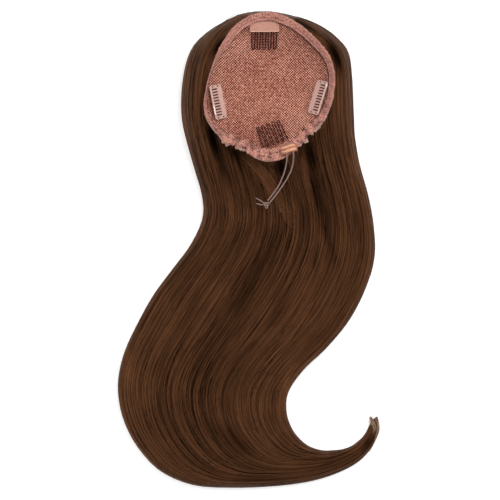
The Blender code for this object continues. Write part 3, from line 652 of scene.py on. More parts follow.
# %% Casing material
def knit_material(name, dark, light, loops_along, loops_across):
    """A knit whose loops follow a piece's UV map, with speckle and shaded folds."""
    brushed = {"Roughness": 0.85, "Sheen_Weight": 0.12, "Sheen_Roughness": 0.5}
    cloth, cloth_shader = start_material(name, **brushed)
    place = add_node(cloth, "TexCoord", {}).outputs
    repeat = (loops_along, loops_across, 1)
    follow = add_node(cloth, "Mapping", {"Vector": place["UV"], "Scale": repeat})
    loop_values = {"Vector": follow, "Scale": 1.0, "Randomness": 0.45}
    loops = add_node(cloth, "TexVoronoi", loop_values, voronoi_dimensions="2D")
    noise_values = {"Vector": place["Object"], "Scale": 1 / (1.4 * MM), "Detail": 2.0}
    speckle = add_node(cloth, "TexNoise", {**noise_values, "Roughness": 0.6})
    uneven = add_node(cloth, "TexNoise", {**noise_values, "Scale": 1 / (12 * MM)})
    # A gathered piece carries the shade of its folds, and any other piece reads nought there.
    painted_fold_shading = add_node(cloth, "Attribute", {}, attribute_name="painted_fold_shading").outputs["Fac"]
    # Light in the middle of each loop and dark between loops, then uneven and shaded.
    shade = add_node(cloth, "Math", {0: loops, 1: -0.9, 2: speckle}, operation="MULTIPLY_ADD")
    for extra, weight in ((uneven, 0.35), (painted_fold_shading, 0.22)):
        shade = add_node(cloth, "Math", {0: extra, 1: weight, 2: shade}, operation="MULTIPLY_ADD")
    share = add_node(cloth, "MapRange", {"Value": shade, "From Min": 0.0, "From Max": 0.6})
    dyed = add_node(cloth, "Mix", {0: share, 6: dark, 7: light}, data_type="RGBA")
    height = add_node(cloth, "Math", {0: loops, 1: -0.8, 2: speckle}, operation="MULTIPLY_ADD")
    raised = add_node(cloth, "Bump", {"Height": height, "Strength": 0.7, "Distance": 0.35 * MM})
    set_inputs(cloth, cloth_shader, {"Base Color": dyed, "Normal": raised})
    return cloth


# The rim is about 450 mm round and the band's skin about 22 mm round its section. Real loops
# are under a millimetre; they are drawn 1.5 mm wide so that they show.
casing_knit = knit_material("brushed_tricot_casing", "#4c241d", "#c68877", 300, 14)
finish_piece(casing, casing_knit, "casing", "rim_band")

# %% [markdown]
# ## The frill
# Where the cord pulls the casing together, its raw outer edge stands out as a small frill. It
# has greyed and pales against the hair. It is a thin strip, lofted along the gathered part of
# the rim, that waves up and down more than the casing does.

# %% Frill
FRILL_FROM, FRILL_TO = math.radians(203), math.radians(352)
FRILL_THICKNESS = 0.45 * MM
FRILL_ROOT = 1.2 * MM
# where it stands out: angle and spread in degrees, and strength
FRILL_ROWS = [(238, 13, 1.0), (314, 15, 1.1)]
frill_angle = np.linspace(FRILL_FROM, FRILL_TO, 620)
rim, middle, outward, long_axis, face_axis = rim_frame(frill_angle)
ends = np.clip(np.minimum(frill_angle - FRILL_FROM, FRILL_TO - frill_angle) / 0.15, 0, 1) * MM
strength = bumps(frill_angle, FRILL_ROWS)
reach_out = (0.2 + strength * (2.0 + 3.2 * fold_wave(frill_angle, 2.0))) * ends
ruffle = fold_wave(frill_angle, 1.4) * (0.3 + 3.6 * strength) * ends
inner = middle + long_axis * (rim["wide"] - FRILL_ROOT)[:, None] - face_axis * 0.5 * MM
outer = inner + outward * (reach_out + FRILL_ROOT)[:, None] + UP * (ruffle - 0.9 * MM)[:, None]
half = (inner + outer) / 2 + UP * (ruffle * 0.3)[:, None]
thick = UP * FRILL_THICKNESS / 2
rings = [inner + thick, half + thick, outer + thick, outer - thick, half - thick, inner - thick]
frill = loft("casing_frill", np.stack(rings, 1))
frill_knit = knit_material("frayed_tricot_edge", "#66403a", "#c39a8d", 150, 6)
finish_piece(frill, frill_knit, "casing")

# %% [markdown]
# ## The painted shadow inside the rim
# Where the net's edge is folded under the casing it makes a deep tuck, in the casing's shadow.
# That shade reads as a dark red-brown line just inside the rim, widest along the right where the
# rim stands up. It is painted: a slim dark tube, lofted round the rim a little below the casing's
# inner edge, stands for the tucked edge in shade.

# %% Painted rim shadow
RIM_SHADOW_RINGS = 420
RIM_SHADOW_LIFT = 0.3 * MM
RIM_SHADOW_LEAST = 0.12 * MM
# angle and spread in degrees, and the line's width in mm
RIM_SHADOW_ROWS = [(20, 26, 1.5), (58, 20, 1.3), (100, 40, 0.5), (325, 22, 0.9), (228, 16, 0.7)]
rim_shadow_angle = np.linspace(0, math.tau, RIM_SHADOW_RINGS, endpoint=False)
rim, _, outward, _, _ = rim_frame(rim_shadow_angle)
rim_shadow_size = RIM_SHADOW_LEAST + bumps(rim_shadow_angle, RIM_SHADOW_ROWS) * MM / 2
flat, steep = np.cos(rim["tilt"]), np.sin(rim["tilt"])
inner_edge = np.hypot(rim["wide"] * flat, rim["thickness"] / 2 * steep)
line = outward * (rim["middle"] - inner_edge - rim_shadow_size * 0.7)[:, None]
line[:, :2] += CAP_MIDDLE
line[:, 2] = bowl_height(line[:, 0], line[:, 1]) + RIM_SHADOW_LIFT
turn = np.linspace(0, math.tau, 8, endpoint=False)[None, :, None]
round_section = np.cos(turn) * outward[:, None] + 0.6 * np.sin(turn) * UP
# Painted shadow: this dark tube stands for the shade under the casing's inner edge.
rim_shadow_tube = loft("painted_rim_shadow", line[:, None] + rim_shadow_size[:, None, None] * round_section, joined=True)
finish_piece(rim_shadow_tube, knit_material("painted_shadow_inside_rim", "#2c0f0b", "#743f35", 220, 2), "net")

# %% [markdown]
# ## Where the flat pieces lie
# Each comb is sewn flat on the sloping net. The part places it by three directions: along the
# rim, up the wall of the net, and away from the net. They are repeated here, so that a new comb
# lies exactly where its solid lies.

# %% Seats
FRONT_SLACK = 1.3 * MM  # the front comb and its pad have slipped down the net this much
SEATS = {
    "comb_top": (
        (0.01719, 0.2394, 0.03804), (0.9982, 0.0135, -0.0578), (0.0199, 0.841, 0.5406),
    ),
    "comb_top_pad": (
        (0.01728, 0.23857, 0.03934), (0.9982, 0.0135, -0.0578), (0.0199, 0.841, 0.5406),
    ),
    "comb_bottom": (
        (0.02934, 0.11234, 0.03877), (-0.9423, -0.3236, 0.0856), (0.3159, -0.7754, 0.5468),
    ),
    "comb_left": (
        (-0.03897, 0.15615, 0.03984), (-0.1958, 0.9787, 0.0614), (-0.7883, -0.1943, 0.5838),
    ),
    "comb_right": (
        (0.08039, 0.16075, 0.04167), (-0.2929, -0.9557, 0.0297), (0.7373, -0.2059, 0.6434),
    ),
    "cord_tunnel": (
        (0.04284, 0.10659, 0.05067), (-0.9516, -0.3074, 0.0), (0.2764, -0.8558, 0.4372),
    ),
}


def seat(name):
    """The matrix that lays a flat piece on the net: x along the rim, y up the wall."""
    place, along, up = (Vector(v) for v in SEATS[name])
    if name.startswith("comb_top"):
        place -= up * FRONT_SLACK
    along.normalize()
    face = along.cross(up).normalized()
    axes = Matrix((along, face.cross(along), face)).transposed().to_4x4()
    return Matrix.Translation(place + CAD_SHIFT) @ axes


print("seats:", ", ".join(SEATS))

# %% [markdown]
# ## Wire combs
# The front and back combs are each one piece of lacquered spring wire, bent into five hairpin
# loops that stand wider at the bar than at the tip. The wire is a curve with a round bevel,
# turned into a mesh and laid on its seat.

# %% Wire combs
WIRE_DIAMETER = 0.9 * MM
# The lacquered wire is drawn a little thicker than it is, so that its loops show.
DRAWN_WIRE_RADIUS = 0.6 * MM
COMB_LOOPS = 5
LOOP_PITCH = 5.8 * MM
LOOP_WIDTH = 2.4 * MM
BAR_WIDTH = 4.4 * MM
TOOTH_LENGTH = 28 * MM


def arc(middle, radius, first, last, steps):
    """Points on a flat arc between two angles."""
    turns = [first + (last - first) * i / steps for i in range(steps + 1)]
    return [(middle[0] + math.cos(t) * radius, middle[1] + math.sin(t) * radius) for t in turns]


def wire_route():
    """The wire's middle line, from the bar down round each loop and back."""
    tip = LOOP_WIDTH / 2
    bar = (LOOP_PITCH - BAR_WIDTH) / 2
    end = ((COMB_LOOPS - 1) * LOOP_PITCH + BAR_WIDTH) / 2
    route = [(-end, 0)]
    for loop in range(COMB_LOOPS):
        middle = (loop - (COMB_LOOPS - 1) / 2) * LOOP_PITCH
        route += arc((middle, tip - TOOTH_LENGTH), tip, math.pi, math.tau, 8)
        if loop < COMB_LOOPS - 1:
            route += arc((middle + LOOP_PITCH / 2, -bar), bar, math.pi, 0, 6)
    return [*route, (end, 0)]


def mesh_from_curve(name, routes, closed, matrix, **settings):
    """A curve with its settings along routes, turned into a mesh and laid by a matrix."""
    line = bpy.data.curves.new(name, "CURVE")
    for key, value in settings.items():
        setattr(line, key, value)
    for route in routes:
        spline = line.splines.new("POLY")
        spline.points.add(len(route) - 1)
        for target, point in zip(spline.points, route):
            target.co = (point[0], point[1], point[2] if len(point) > 2 else 0, 1)
        spline.use_cyclic_u = closed
    piece = bpy.data.objects.new(name, line)
    bpy.context.scene.collection.objects.link(piece)
    piece.matrix_world = matrix
    select_only(piece)
    bpy.ops.object.convert(target="MESH")
    apply_all(bpy.context.object)
    return bpy.context.object


def round_wire(name, routes, radius, matrix, resolution=3):
    """Round wires along routes, as one closed mesh that is laid by a matrix."""
    wire = mesh_from_curve(
        name, routes, False, matrix,
        dimensions="3D", bevel_depth=radius, bevel_resolution=resolution, use_fill_caps=True,
    )
    face_outwards(wire)
    bpy.ops.object.shade_smooth_by_angle(angle=math.radians(50))
    return wire


print("a wire comb has", len(wire_route()), "points on its wire")

# %% [markdown]
# ### Wire material: lacquered spring steel
# The wire is coated in a dark brown lacquer, which is glossy on the outside of each bend and a
# little worn. Under a coat the IOR stays at the default, and a fine noise changes its roughness.

# %% Wire material and combs
lacquer = grained_material(
    "brown_lacquered_wire", "#1d0502", "#47140d", 2 * MM, 3.0,
    gloss=(0.25, 0.55), Specular_IOR_Level=0.15,
)
on_net = Matrix.Translation((0, 0, WIRE_DIAMETER / 2))
for name in ("comb_top", "comb_bottom"):
    wire = round_wire(f"{name}_wire", [wire_route()], DRAWN_WIRE_RADIUS, seat(name) @ on_net)
    finish_piece(wire, lacquer, "comb_wire", name)

# %% [markdown]
# ## The felt pad
# A D-shaped pad of peach felt covers the bar of the front comb. It is made as a maker would cut
# it: a disc primitive is pulled to the D outline and extruded upwards, then in three more steps
# that each draw it in, so that the middle stands proud. A bevel softens its edge, and a rolled
# hem closes the straight side.

# %% Pad
PAD_WIDTH = 32 * MM
PAD_DEPTH = 12 * MM
PAD_THICKNESS = 1.6 * MM
PAD_BASE_COVER = 5 * MM
PAD_POINTS = 96
PAD_WALL = 0.7  # share of the thickness that stands upright
# each step in from the edge: rise as a share of the thickness, then the two sizes kept
PAD_STEPS = [(0.16, 0.965, 0.91), (0.10, 0.94, 0.86), (0.04, 0.9, 0.8)]
HEM_RADIUS = 0.55 * MM
HEM_INSET = 1 * MM


def pad_outline(count, inset=0.0):
    """Points round the D, from its right corner over the arch and back along the straight."""
    straight, arch = -PAD_BASE_COVER + inset, PAD_DEPTH - PAD_BASE_COVER - inset
    half = PAD_WIDTH / 2 - inset
    corner = 0.42 * PAD_DEPTH - inset
    turns = [math.pi * i / 40 for i in range(41)]
    reach_up = arch - straight - corner
    outline = [
        (math.copysign(abs(math.cos(t)) ** 0.6, math.cos(t)) * half,
         straight + corner + reach_up * math.sin(t) ** 0.8)
        for t in turns
    ]
    outline += [(-half, straight + corner * (1 - i / 6)) for i in range(1, 7)]
    outline += [(half * (i / 12 * 2 - 1), straight) for i in range(1, 13)]
    outline += [(half, straight + corner * i / 6) for i in range(1, 6)]
    outline = np.array(outline + outline[:1])
    gone = length_along(outline)
    return read_line(outline, gone, np.linspace(0, gone[-1], count, endpoint=False))


pad = start_from(
    bpy.ops.mesh.primitive_circle_add, "felt_pad",
    vertices=PAD_POINTS, radius=PAD_WIDTH / 2, fill_type="NGON",
)
for vertex, (x, y) in zip(pad.data.vertices, pad_outline(PAD_POINTS)):
    vertex.co = (x, y, -PAD_THICKNESS / 2)
pad_middle = (0, (PAD_DEPTH - 2 * PAD_BASE_COVER) / 2, 0)
bpy.ops.object.mode_set(mode="EDIT")
bpy.ops.mesh.select_all(action="SELECT")
for rise, wide_share, deep_share in [(PAD_WALL, 1, 1), *PAD_STEPS]:
    upwards = {"value": (0, 0, rise * PAD_THICKNESS)}
    bpy.ops.mesh.extrude_region_move(TRANSFORM_OT_translate=upwards)
    bpy.ops.transform.resize(value=(wide_share, deep_share, 1), center_override=pad_middle)
bpy.ops.object.mode_set(mode="OBJECT")
face_outwards(pad)
soft = pad.modifiers.new("soft_edge", "BEVEL")
soft.width = 0.25 * MM
soft.segments = 2
soft.limit_method = "ANGLE"
pad.matrix_world = seat("comb_top_pad")
apply_all(pad)
bpy.ops.object.shade_smooth_by_angle(angle=math.radians(50))

hem_end = PAD_WIDTH / 2 - HEM_INSET
hem_place = (-PAD_BASE_COVER + 0.3 * MM, PAD_THICKNESS * 0.35)
hem_line = [(x, *hem_place) for x in np.linspace(-hem_end, hem_end, 30)]
pad_hem = round_wire("pad_hem", [hem_line], HEM_RADIUS, seat("comb_top_pad"), resolution=2)
print(pad.name, "and", pad_hem.name, "lie on their seat")

# %% [markdown]
# ### Pad material: peach felt
# Felt has no weave. It is matted fibre, so its colour and its surface are both a fractal noise,
# with a strong soft sheen where the fuzz stands up at the edges.

# %% Pad material
felt = {
    "harsh": 0.65, "spread": (0.3, 0.7), "relief": (0.6, 0.3 * MM),
    "Roughness": 0.9, "Sheen_Weight": 0.15, "Sheen_Roughness": 0.6,
}
peach_felt = grained_material("peach_felt", "#a26e5d", "#cf9a87", 1 * MM, 4.0, **felt)
pale_felt = grained_material("pale_felt_edge", "#c79584", "#e8bfae", 1 * MM, 4.0, **felt)
finish_piece(pad, peach_felt, "pad", "comb_top_pad")
finish_piece(pad_hem, pale_felt, "pad")

# %% [markdown]
# ## Moulded side combs
# The side combs are clear plastic, moulded flat: a spine on the rim's side, teeth that hang from
# it, a frosted ribbed bar across the teeth, and at each end a plate with two sewing holes. The
# outline with its slots and holes is a filled curve, whose bevel rounds every moulded edge, and
# a round spine and the ribs of the bar are then added on top.

# %% Side comb shape
COMB_LENGTH = 37 * MM
COMB_DEPTH = 17 * MM
COMB_THICKNESS = 1.2 * MM
SPINE_WIDTH = 2.2 * MM
BRIDGE_DEPTH = 5.5 * MM
POINT_LENGTH = 2.0 * MM
COMB_TEETH = 9
END_PLATE = 4.6 * MM
SEWING_HOLE = 2.0 * MM
EDGE_ROUND = 0.28 * MM
CORNER = 1.0 * MM
ROUND_RADIUS = 0.55 * MM  # of the spine and of the ribs
GLINT_RADIUS = 0.7 * MM
HALF_COMB = COMB_LENGTH / 2
COMB_EDGE = POINT_LENGTH - COMB_DEPTH  # where the teeth's points begin
HOLE_X = HALF_COMB - END_PLATE * 0.38
HOLE_SHARES = (0.28, 0.72)  # of the way from the rim's side to that edge


def side_comb_outlines():
    """The outer edge, the slots between the teeth and the four sewing holes, seen flat."""
    pitch = (COMB_LENGTH - 2 * END_PLATE) / COMB_TEETH
    tooth = 0.5 * pitch
    point = 0.3 * MM
    corner = [
        (HALF_COMB - CORNER, 0), (HALF_COMB, -CORNER),
        (HALF_COMB, COMB_EDGE + 1.2 * MM), (HALF_COMB - 0.8 * MM, COMB_EDGE),
    ]
    outer = [(-x, y) for x, y in reversed(corner)] + corner
    for i in reversed(range(COMB_TEETH)):
        middle = -HALF_COMB + END_PLATE + pitch * (i + 0.5)
        outer += [(middle + tooth / 2, COMB_EDGE), (middle + point, point - COMB_DEPTH)]
        outer += [(middle - point, point - COMB_DEPTH), (middle - tooth / 2, COMB_EDGE)]
    slots = []
    low = COMB_EDGE + BRIDGE_DEPTH
    for i in range(COMB_TEETH + 1):
        left = -HALF_COMB + END_PLATE + pitch * i - (pitch - tooth) / 2
        right = left + pitch - tooth
        slots.append([(left, -SPINE_WIDTH), (left, low), (right, low), (right, -SPINE_WIDTH)])
    holes = [
        arc((side * HOLE_X, COMB_EDGE * share), SEWING_HOLE / 2, 0, math.tau, 14)[:-1]
        for side in (-1, 1)
        for share in HOLE_SHARES
    ]
    return [outer, *slots, *holes]


# A painted highlight: a near-white rod along this route on each spine stands for a reflection.
GLINTS = {
    "comb_left": [(x, -0.5 * MM, 0.1 * MM) for x in np.linspace(-12.5 * MM, -3.0 * MM, 6)],
    "comb_right": [(x, -0.6 * MM, 0) for x in np.linspace(-15.5 * MM, -13.0 * MM, 3)],
}


def side_comb(name):
    """The moulded plate with its rounded edges, its spine, the ribs of its bar and its painted
    glint.
    """
    plate = mesh_from_curve(
        f"{name}_plate", side_comb_outlines(), True,
        seat(name) @ Matrix.Translation((0, 0, COMB_THICKNESS / 2)),
        dimensions="2D", fill_mode="BOTH", extrude=COMB_THICKNESS / 2 - EDGE_ROUND,
        bevel_depth=EDGE_ROUND, bevel_resolution=2, offset=-EDGE_ROUND,
    )
    bpy.ops.object.shade_smooth_by_angle(angle=math.radians(40))
    lifted = seat(name) @ Matrix.Translation((0, 0, COMB_THICKNESS))
    spine_end, rib_end = HALF_COMB - 1.2 * MM, HALF_COMB - END_PLATE
    spine = [(x, -SPINE_WIDTH / 2, 0) for x in np.linspace(-spine_end, spine_end, 12)]
    ribs = [
        [(x, COMB_EDGE + share * BRIDGE_DEPTH, 0) for share in (0.06, 0.35, 0.65, 0.94)]
        for x in np.linspace(-rib_end, rib_end, 2 * COMB_TEETH + 1)
    ]
    return (
        plate,
        round_wire(f"{name}_spine", [spine], ROUND_RADIUS, lifted),
        round_wire(f"{name}_ribs", ribs, ROUND_RADIUS, lifted, resolution=1),
        round_wire(f"{name}_glint", [GLINTS[name]], GLINT_RADIUS, lifted),
    )


print("a side comb has", len(side_comb_outlines()) - 1, "slots and holes")

# %% [markdown]
# ### Comb material: frosted polystyrene
# Clear polystyrene has an IOR of 1.59. The tool's face is matt, so the plastic looks frosted:
# some light goes through to the pink net below, and the rest scatters back milky. The spine is
# polished, and its one long highlight is painted on as a near-white rod along part of it.

# %% Comb material and side combs
GAP_SIZE = (COMB_LENGTH - 2.4 * MM, -COMB_EDGE - 2.4 * MM, 0.12 * MM)


def plastic_material(name, tint, roughness, clearness):
    """Polystyrene that is tinted by what lies under it, frosted and more or less clear."""
    return grained_material(
        name, tint, "#f4d8cc", 1.2 * MM, 3.0, gloss=(roughness * 0.7, roughness * 1.3),
        IOR=1.59, Specular_IOR_Level=0.3, Transmission_Weight=clearness,
    )


clear = plastic_material("clear_polystyrene", "#a65f4f", 0.35, 0.30)
frosted = plastic_material("frosted_polystyrene", "#bb7f6e", 0.45, 0.15)
# A painted highlight: a near-white rod on each spine stands for the lamp's reflection.
painted_glint_white = plastic_material("painted_glint_polystyrene", "#fff6f0", 0.15, 0.05)
polished = plastic_material("polished_polystyrene", "#d8a595", 0.12, 0.30)
# Through the slots and holes the dark hair under the net shows, in the comb's shade. A thin dark
# layer stands for both: the hair's own colour and painted shade.
shade_layer_under_comb = grained_material(
    "dark_hair_and_painted_shade", "#2a0f0b", "#70392f", 1.5 * MM, Roughness=0.9
)
for name in ("comb_left", "comb_right"):
    plate, spine, ribs, glint = side_comb(name)
    finish_piece(plate, clear, "comb_plastic", name)
    finish_piece(spine, polished, "comb_plastic")
    finish_piece(ribs, frosted, "comb_plastic")
    finish_piece(glint, painted_glint_white, "comb_plastic")
    shaded_gaps = start_from(bpy.ops.mesh.primitive_cube_add, f"{name}_gaps", size=1)
    under_plate = seat(name) @ Matrix.Translation((0, COMB_EDGE / 2, 0.1 * MM))
    shaded_gaps.matrix_world = under_plate @ Matrix.Diagonal((*GAP_SIZE, 1))
    apply_all(shaded_gaps)
    finish_piece(shaded_gaps, shade_layer_under_comb, "comb_plastic")

# %% [markdown]
# ## The drawstring's tunnel
# A short length of tan satin ribbon is folded and sewn over the casing. The cord's two ends come
# out of it on the hair's side. It is an open sleeve: a cylinder primitive with no ends, pressed
# flat, with two soft folds along its top, and a Solidify modifier for the ribbon's thickness.

# %% Tunnel
TUNNEL_WIDTH = 17.3 * MM
TUNNEL_DEPTH = 8.6 * MM
TUNNEL_HEIGHT = 4.2 * MM
RIBBON = 0.55 * MM


def squared(value, power):
    """A sine or cosine made fuller, so that an oval turns towards a box."""
    return math.copysign(abs(value) ** power, value)


tunnel = start_from(
    bpy.ops.mesh.primitive_cylinder_add, "ribbon_tunnel",
    vertices=72, radius=1, depth=2, end_fill_type="NOTHING",
)
bpy.ops.object.mode_set(mode="EDIT")
bpy.ops.mesh.select_all(action="SELECT")
bpy.ops.mesh.subdivide(number_cuts=1, smoothness=0)
bpy.ops.object.mode_set(mode="OBJECT")
long_cut = tunnel.modifiers.new("rows", "SUBSURF")
long_cut.subdivision_type = "SIMPLE"
long_cut.levels = long_cut.render_levels = 2
apply_all(tunnel)
painted_fold_light = []
for vertex in tunnel.data.vertices:
    around, depth_share = math.atan2(vertex.co.y, vertex.co.x), vertex.co.z
    x = squared(math.cos(around), 0.5) * TUNNEL_WIDTH / 2
    z = squared(math.sin(around), 0.6) * TUNNEL_HEIGHT / 2
    if z > 0:
        z -= (1.0 * math.cos(depth_share * math.tau) + 0.3) * MM
        z += 0.25 * MM * math.sin(x * 900 + depth_share * 2)
    slant = 0.4 * MM * math.sin(x * 380)
    vertex.co = (x * (1 - 0.03 * abs(depth_share)), depth_share * TUNNEL_DEPTH / 2 + slant, z)
    edge = abs(x) / (TUNNEL_WIDTH / 2)
    # Painted light and shade: each point keeps how lit its fold is, high on the crests, low in the
    # hollows and at the sides.
    painted_fold_light.append((0.5 - 0.5 * math.cos(depth_share * math.tau + x * 150)) * (1 - edge**6))
tunnel.data.attributes.new("painted_fold_shading", "FLOAT", "POINT").data.foreach_set("value", painted_fold_light)
wall = tunnel.modifiers.new("ribbon", "SOLIDIFY")
wall.thickness = RIBBON
wall.offset = -1
tunnel.matrix_world = seat("cord_tunnel")
apply_all(tunnel)
bpy.ops.object.shade_smooth_by_angle(angle=math.radians(60))
print(tunnel.name, "pressed flat and folded,", len(painted_fold_light), "points")

# %% [markdown]
# ### Ribbon material: woven satin
# Satin is glossy along its floats and duller across them. The threads of a ribbon lie about
# 0.25 mm apart, which is drawn at 0.5 mm here so that it shows at all.

# %% Ribbon material
THREAD_PITCH = 0.5 * MM
satin, shader = start_material("tan_satin_ribbon", Roughness=0.42, Sheen_Weight=0.3)
place = add_node(satin, "TexCoord", {}).outputs["Object"]
turned = add_node(satin, "Mapping", {"Vector": place, "Rotation": (0, 0, math.radians(-18))})
wave_values = {"Vector": turned, "Scale": 1 / THREAD_PITCH / math.tau, "Distortion": 1.5}
weave = add_node(satin, "TexWave", wave_values, bands_direction="Y").outputs["Fac"]
patches = add_node(satin, "TexNoise", {"Vector": place, "Scale": 1 / (3 * MM), "Detail": 2.0})
# The folds' painted light, kept on the tunnel's points, makes the crests lighter than the hollows.
painted_crest_light = add_node(satin, "Attribute", {}, attribute_name="painted_fold_shading").outputs["Fac"]
light = add_node(satin, "Math", {0: patches, 1: 0.6, 2: painted_crest_light}, operation="MULTIPLY_ADD")
share = add_node(satin, "MapRange", {"Value": light, "From Min": 0.25, "From Max": 1.35})
dyed = add_node(satin, "Mix", {0: share, 6: "#6e3327", 7: "#e5a57c"}, data_type="RGBA")
raised = add_node(satin, "Bump", {"Height": weave, "Strength": 0.35, "Distance": 0.15 * MM})
set_inputs(satin, shader, {"Base Color": dyed, "Normal": raised})
finish_piece(tunnel, satin, "ribbon", "cord_tunnel")

# %% [markdown]
# ## Sewing thread
# Short stitches hold the pad and the side combs, and a seam runs round the casing.
# A stitch is one bent capsule with few faces; each one is lofted in its own place.

# %% Stitches
THREAD_RADIUS = 0.2 * MM


def stitch_rings(start, end, lift):
    """One stitch as seven rings of six points: it dives into the cloth at both ends."""
    start, end, lift = (np.asarray(v, float) for v in (start, end, lift))
    share = np.linspace(0, 1, 7)[:, None]
    line = start + (end - start) * share + lift * np.sin(math.pi * share)
    sideways = np.cross(end - start, lift)
    sideways /= np.linalg.norm(sideways)
    up = lift / np.linalg.norm(lift)
    turn = np.linspace(0, math.tau, 6, endpoint=False)[None, :, None]
    size = THREAD_RADIUS * (0.35 + 0.65 * np.sin(math.pi * share) ** 0.5)[:, None]
    return line[:, None] + size * (np.cos(turn) * sideways + np.sin(turn) * up)


def join_stitches(name, stitches):
    """Many lofted stitches as one object."""
    made = [loft(f"{name}_{i}", rings) for i, rings in enumerate(stitches)]
    select_only(*made)
    bpy.ops.object.join()
    made[0].name = name
    return made[0]


def seat_stitch(matrix, start, end, lift):
    """A stitch between two places on a seat, lifted straight away from the net."""
    up = matrix.to_3x3() @ Vector((0, 0, lift))
    return stitch_rings(matrix @ Vector(start), matrix @ Vector(end), up)


stitches = []
pad_seat = seat("comb_top_pad")
pad_edge = PAD_THICKNESS * 0.38
rim_line = pad_outline(60, inset=0.8 * MM)
for (x, y), (next_x, next_y) in zip(rim_line, np.roll(rim_line, -1, 0)):
    if y >= -PAD_BASE_COVER + 1.5 * MM:
        end = (x + 0.6 * (next_x - x), y + 0.6 * (next_y - y), pad_edge)
        stitches.append(seat_stitch(pad_seat, (x, y, pad_edge), end, 0.28 * MM))
for name in ("comb_left", "comb_right"):
    for side in (-1, 1):
        for share, way in zip(HOLE_SHARES, (0.4 * MM, -0.4 * MM)):
            x, y = side * HOLE_X, COMB_EDGE * share
            end = (x + side * 2.6 * MM, y + way, 0.2 * MM)
            stitches.append(seat_stitch(seat(name), (x, y, COMB_THICKNESS * 0.8), end, 0.8 * MM))
pale_stitches = join_stitches("pale_stitches", stitches)
print(len(stitches), "stitches hold the pad and the side combs")

# %% [markdown]
# The seam of the casing lies a few millimetres out from its inner edge. Every stitch there
# reads the rim's table, so it follows the band's width and tilt.

# %% Casing seam
SEAM_STITCHES = 190
SEAM_ACROSS = -0.62
SEAM_HEIGHT = 0.86  # share of the band's half thickness
number = np.arange(SEAM_STITCHES)[:, None]
rim, middle, _, long_axis, face_axis = rim_frame(math.tau * (number + [0.0, 0.55]) / SEAM_STITCHES)
places = middle + long_axis * (rim["wide"] * SEAM_ACROSS)[..., None]
places += face_axis * BAND_THICKNESS / 2 * SEAM_HEIGHT
lifts = face_axis[:, 1] * 0.35 * MM
seam = [stitch_rings(start, end, lift) for (start, end), lift in zip(places, lifts)]
seam_stitches = join_stitches("seam_stitches", seam)
thread = grained_material(
    "polyester_sewing_thread", "#b98572", "#f0cdbd", 0.5 * MM, Roughness=0.5, Sheen_Weight=0.3
)
finish_piece(pale_stitches, thread, "pad")
finish_piece(seam_stitches, thread, "casing")

# %% [markdown]
# ## How the hair flows
# The hair follows one path, from the front of the cap to the tip of its curl. A table of
# sections, read along that path, says where its middle is, which way it runs, how wide it is and
# how high it piles. Every lock below is then placed by two numbers: run, its share of the way
# along the path, and side, from -1 at the left edge to 1 at the right. A lock that keeps its
# side follows the S by itself.

# %% Flow of the hair
LAID_LENGTH = 514 * MM
LAID_WIDTH = 282 * MM
PILE_HEIGHT = 24 * MM
RIM_HEIGHT = NET_FLOOR + CAP_DEPTH
HAIR_ROUNDNESS = 3.6
HAIR_WAIST = 0.22
# along, across, turn in degrees, width, pile, cradle: the part's own sections
HAIR_ROWS = [
    (0.002, 0.054, 0.0, 0.065, 0, 0.38),
    (0.006, 0.054, 0.0, 0.157, 0, 0.54),
    (0.019, 0.070, 0.0, 0.295, 0, 0.76),
    (0.044, 0.075, 0.0, 0.460, 0, 0.90),
    (0.082, 0.079, 0.0, 0.597, 0, 0.97),
    (0.145, 0.073, 0.0, 0.647, 0, 1.00),
    (0.225, 0.072, 0.0, 0.653, 0, 0.97),
    (0.311, 0.101, 0.0, 0.636, 0.10, 0.74),
    (0.387, 0.140, -1.0, 0.636, 0.90, 0.12),
    (0.450, 0.153, -4.7, 0.657, 1.00, 0.02),
    (0.506, 0.130, -4.5, 0.702, 1.00, 0),
    (0.561, 0.080, -5.3, 0.742, 0.98, 0),
    (0.623, 0.011, -7.3, 0.753, 0.96, 0),
    (0.682, -0.063, -7.4, 0.726, 0.94, 0),
    (0.735, -0.132, -6.0, 0.685, 0.92, 0),
    (0.786, -0.173, -4.7, 0.651, 0.90, 0),
    (0.831, -0.175, -3.0, 0.639, 0.88, 0),
    (0.870, -0.155, 0.0, 0.628, 0.86, 0),
    (0.906, -0.117, 4.3, 0.607, 0.84, 0),
    (0.940, -0.054, 9.7, 0.571, 0.80, 0),
    (0.959, 0.033, 15.0, 0.508, 0.74, 0),
    (0.962, 0.130, 20.0, 0.411, 0.66, 0),
    (0.959, 0.228, 27.0, 0.310, 0.56, 0),
    (0.950, 0.316, 39.0, 0.218, 0.47, 0),
    (0.934, 0.389, 57.6, 0.143, 0.39, 0),
    (0.915, 0.439, 81.0, 0.097, 0.32, 0),
    (0.890, 0.471, 107.0, 0.066, 0.26, 0),
    (0.868, 0.486, 135.0, 0.036, 0.17, 0),
    (0.853, 0.492, 148.0, 0.006, 0.06, 0),
]
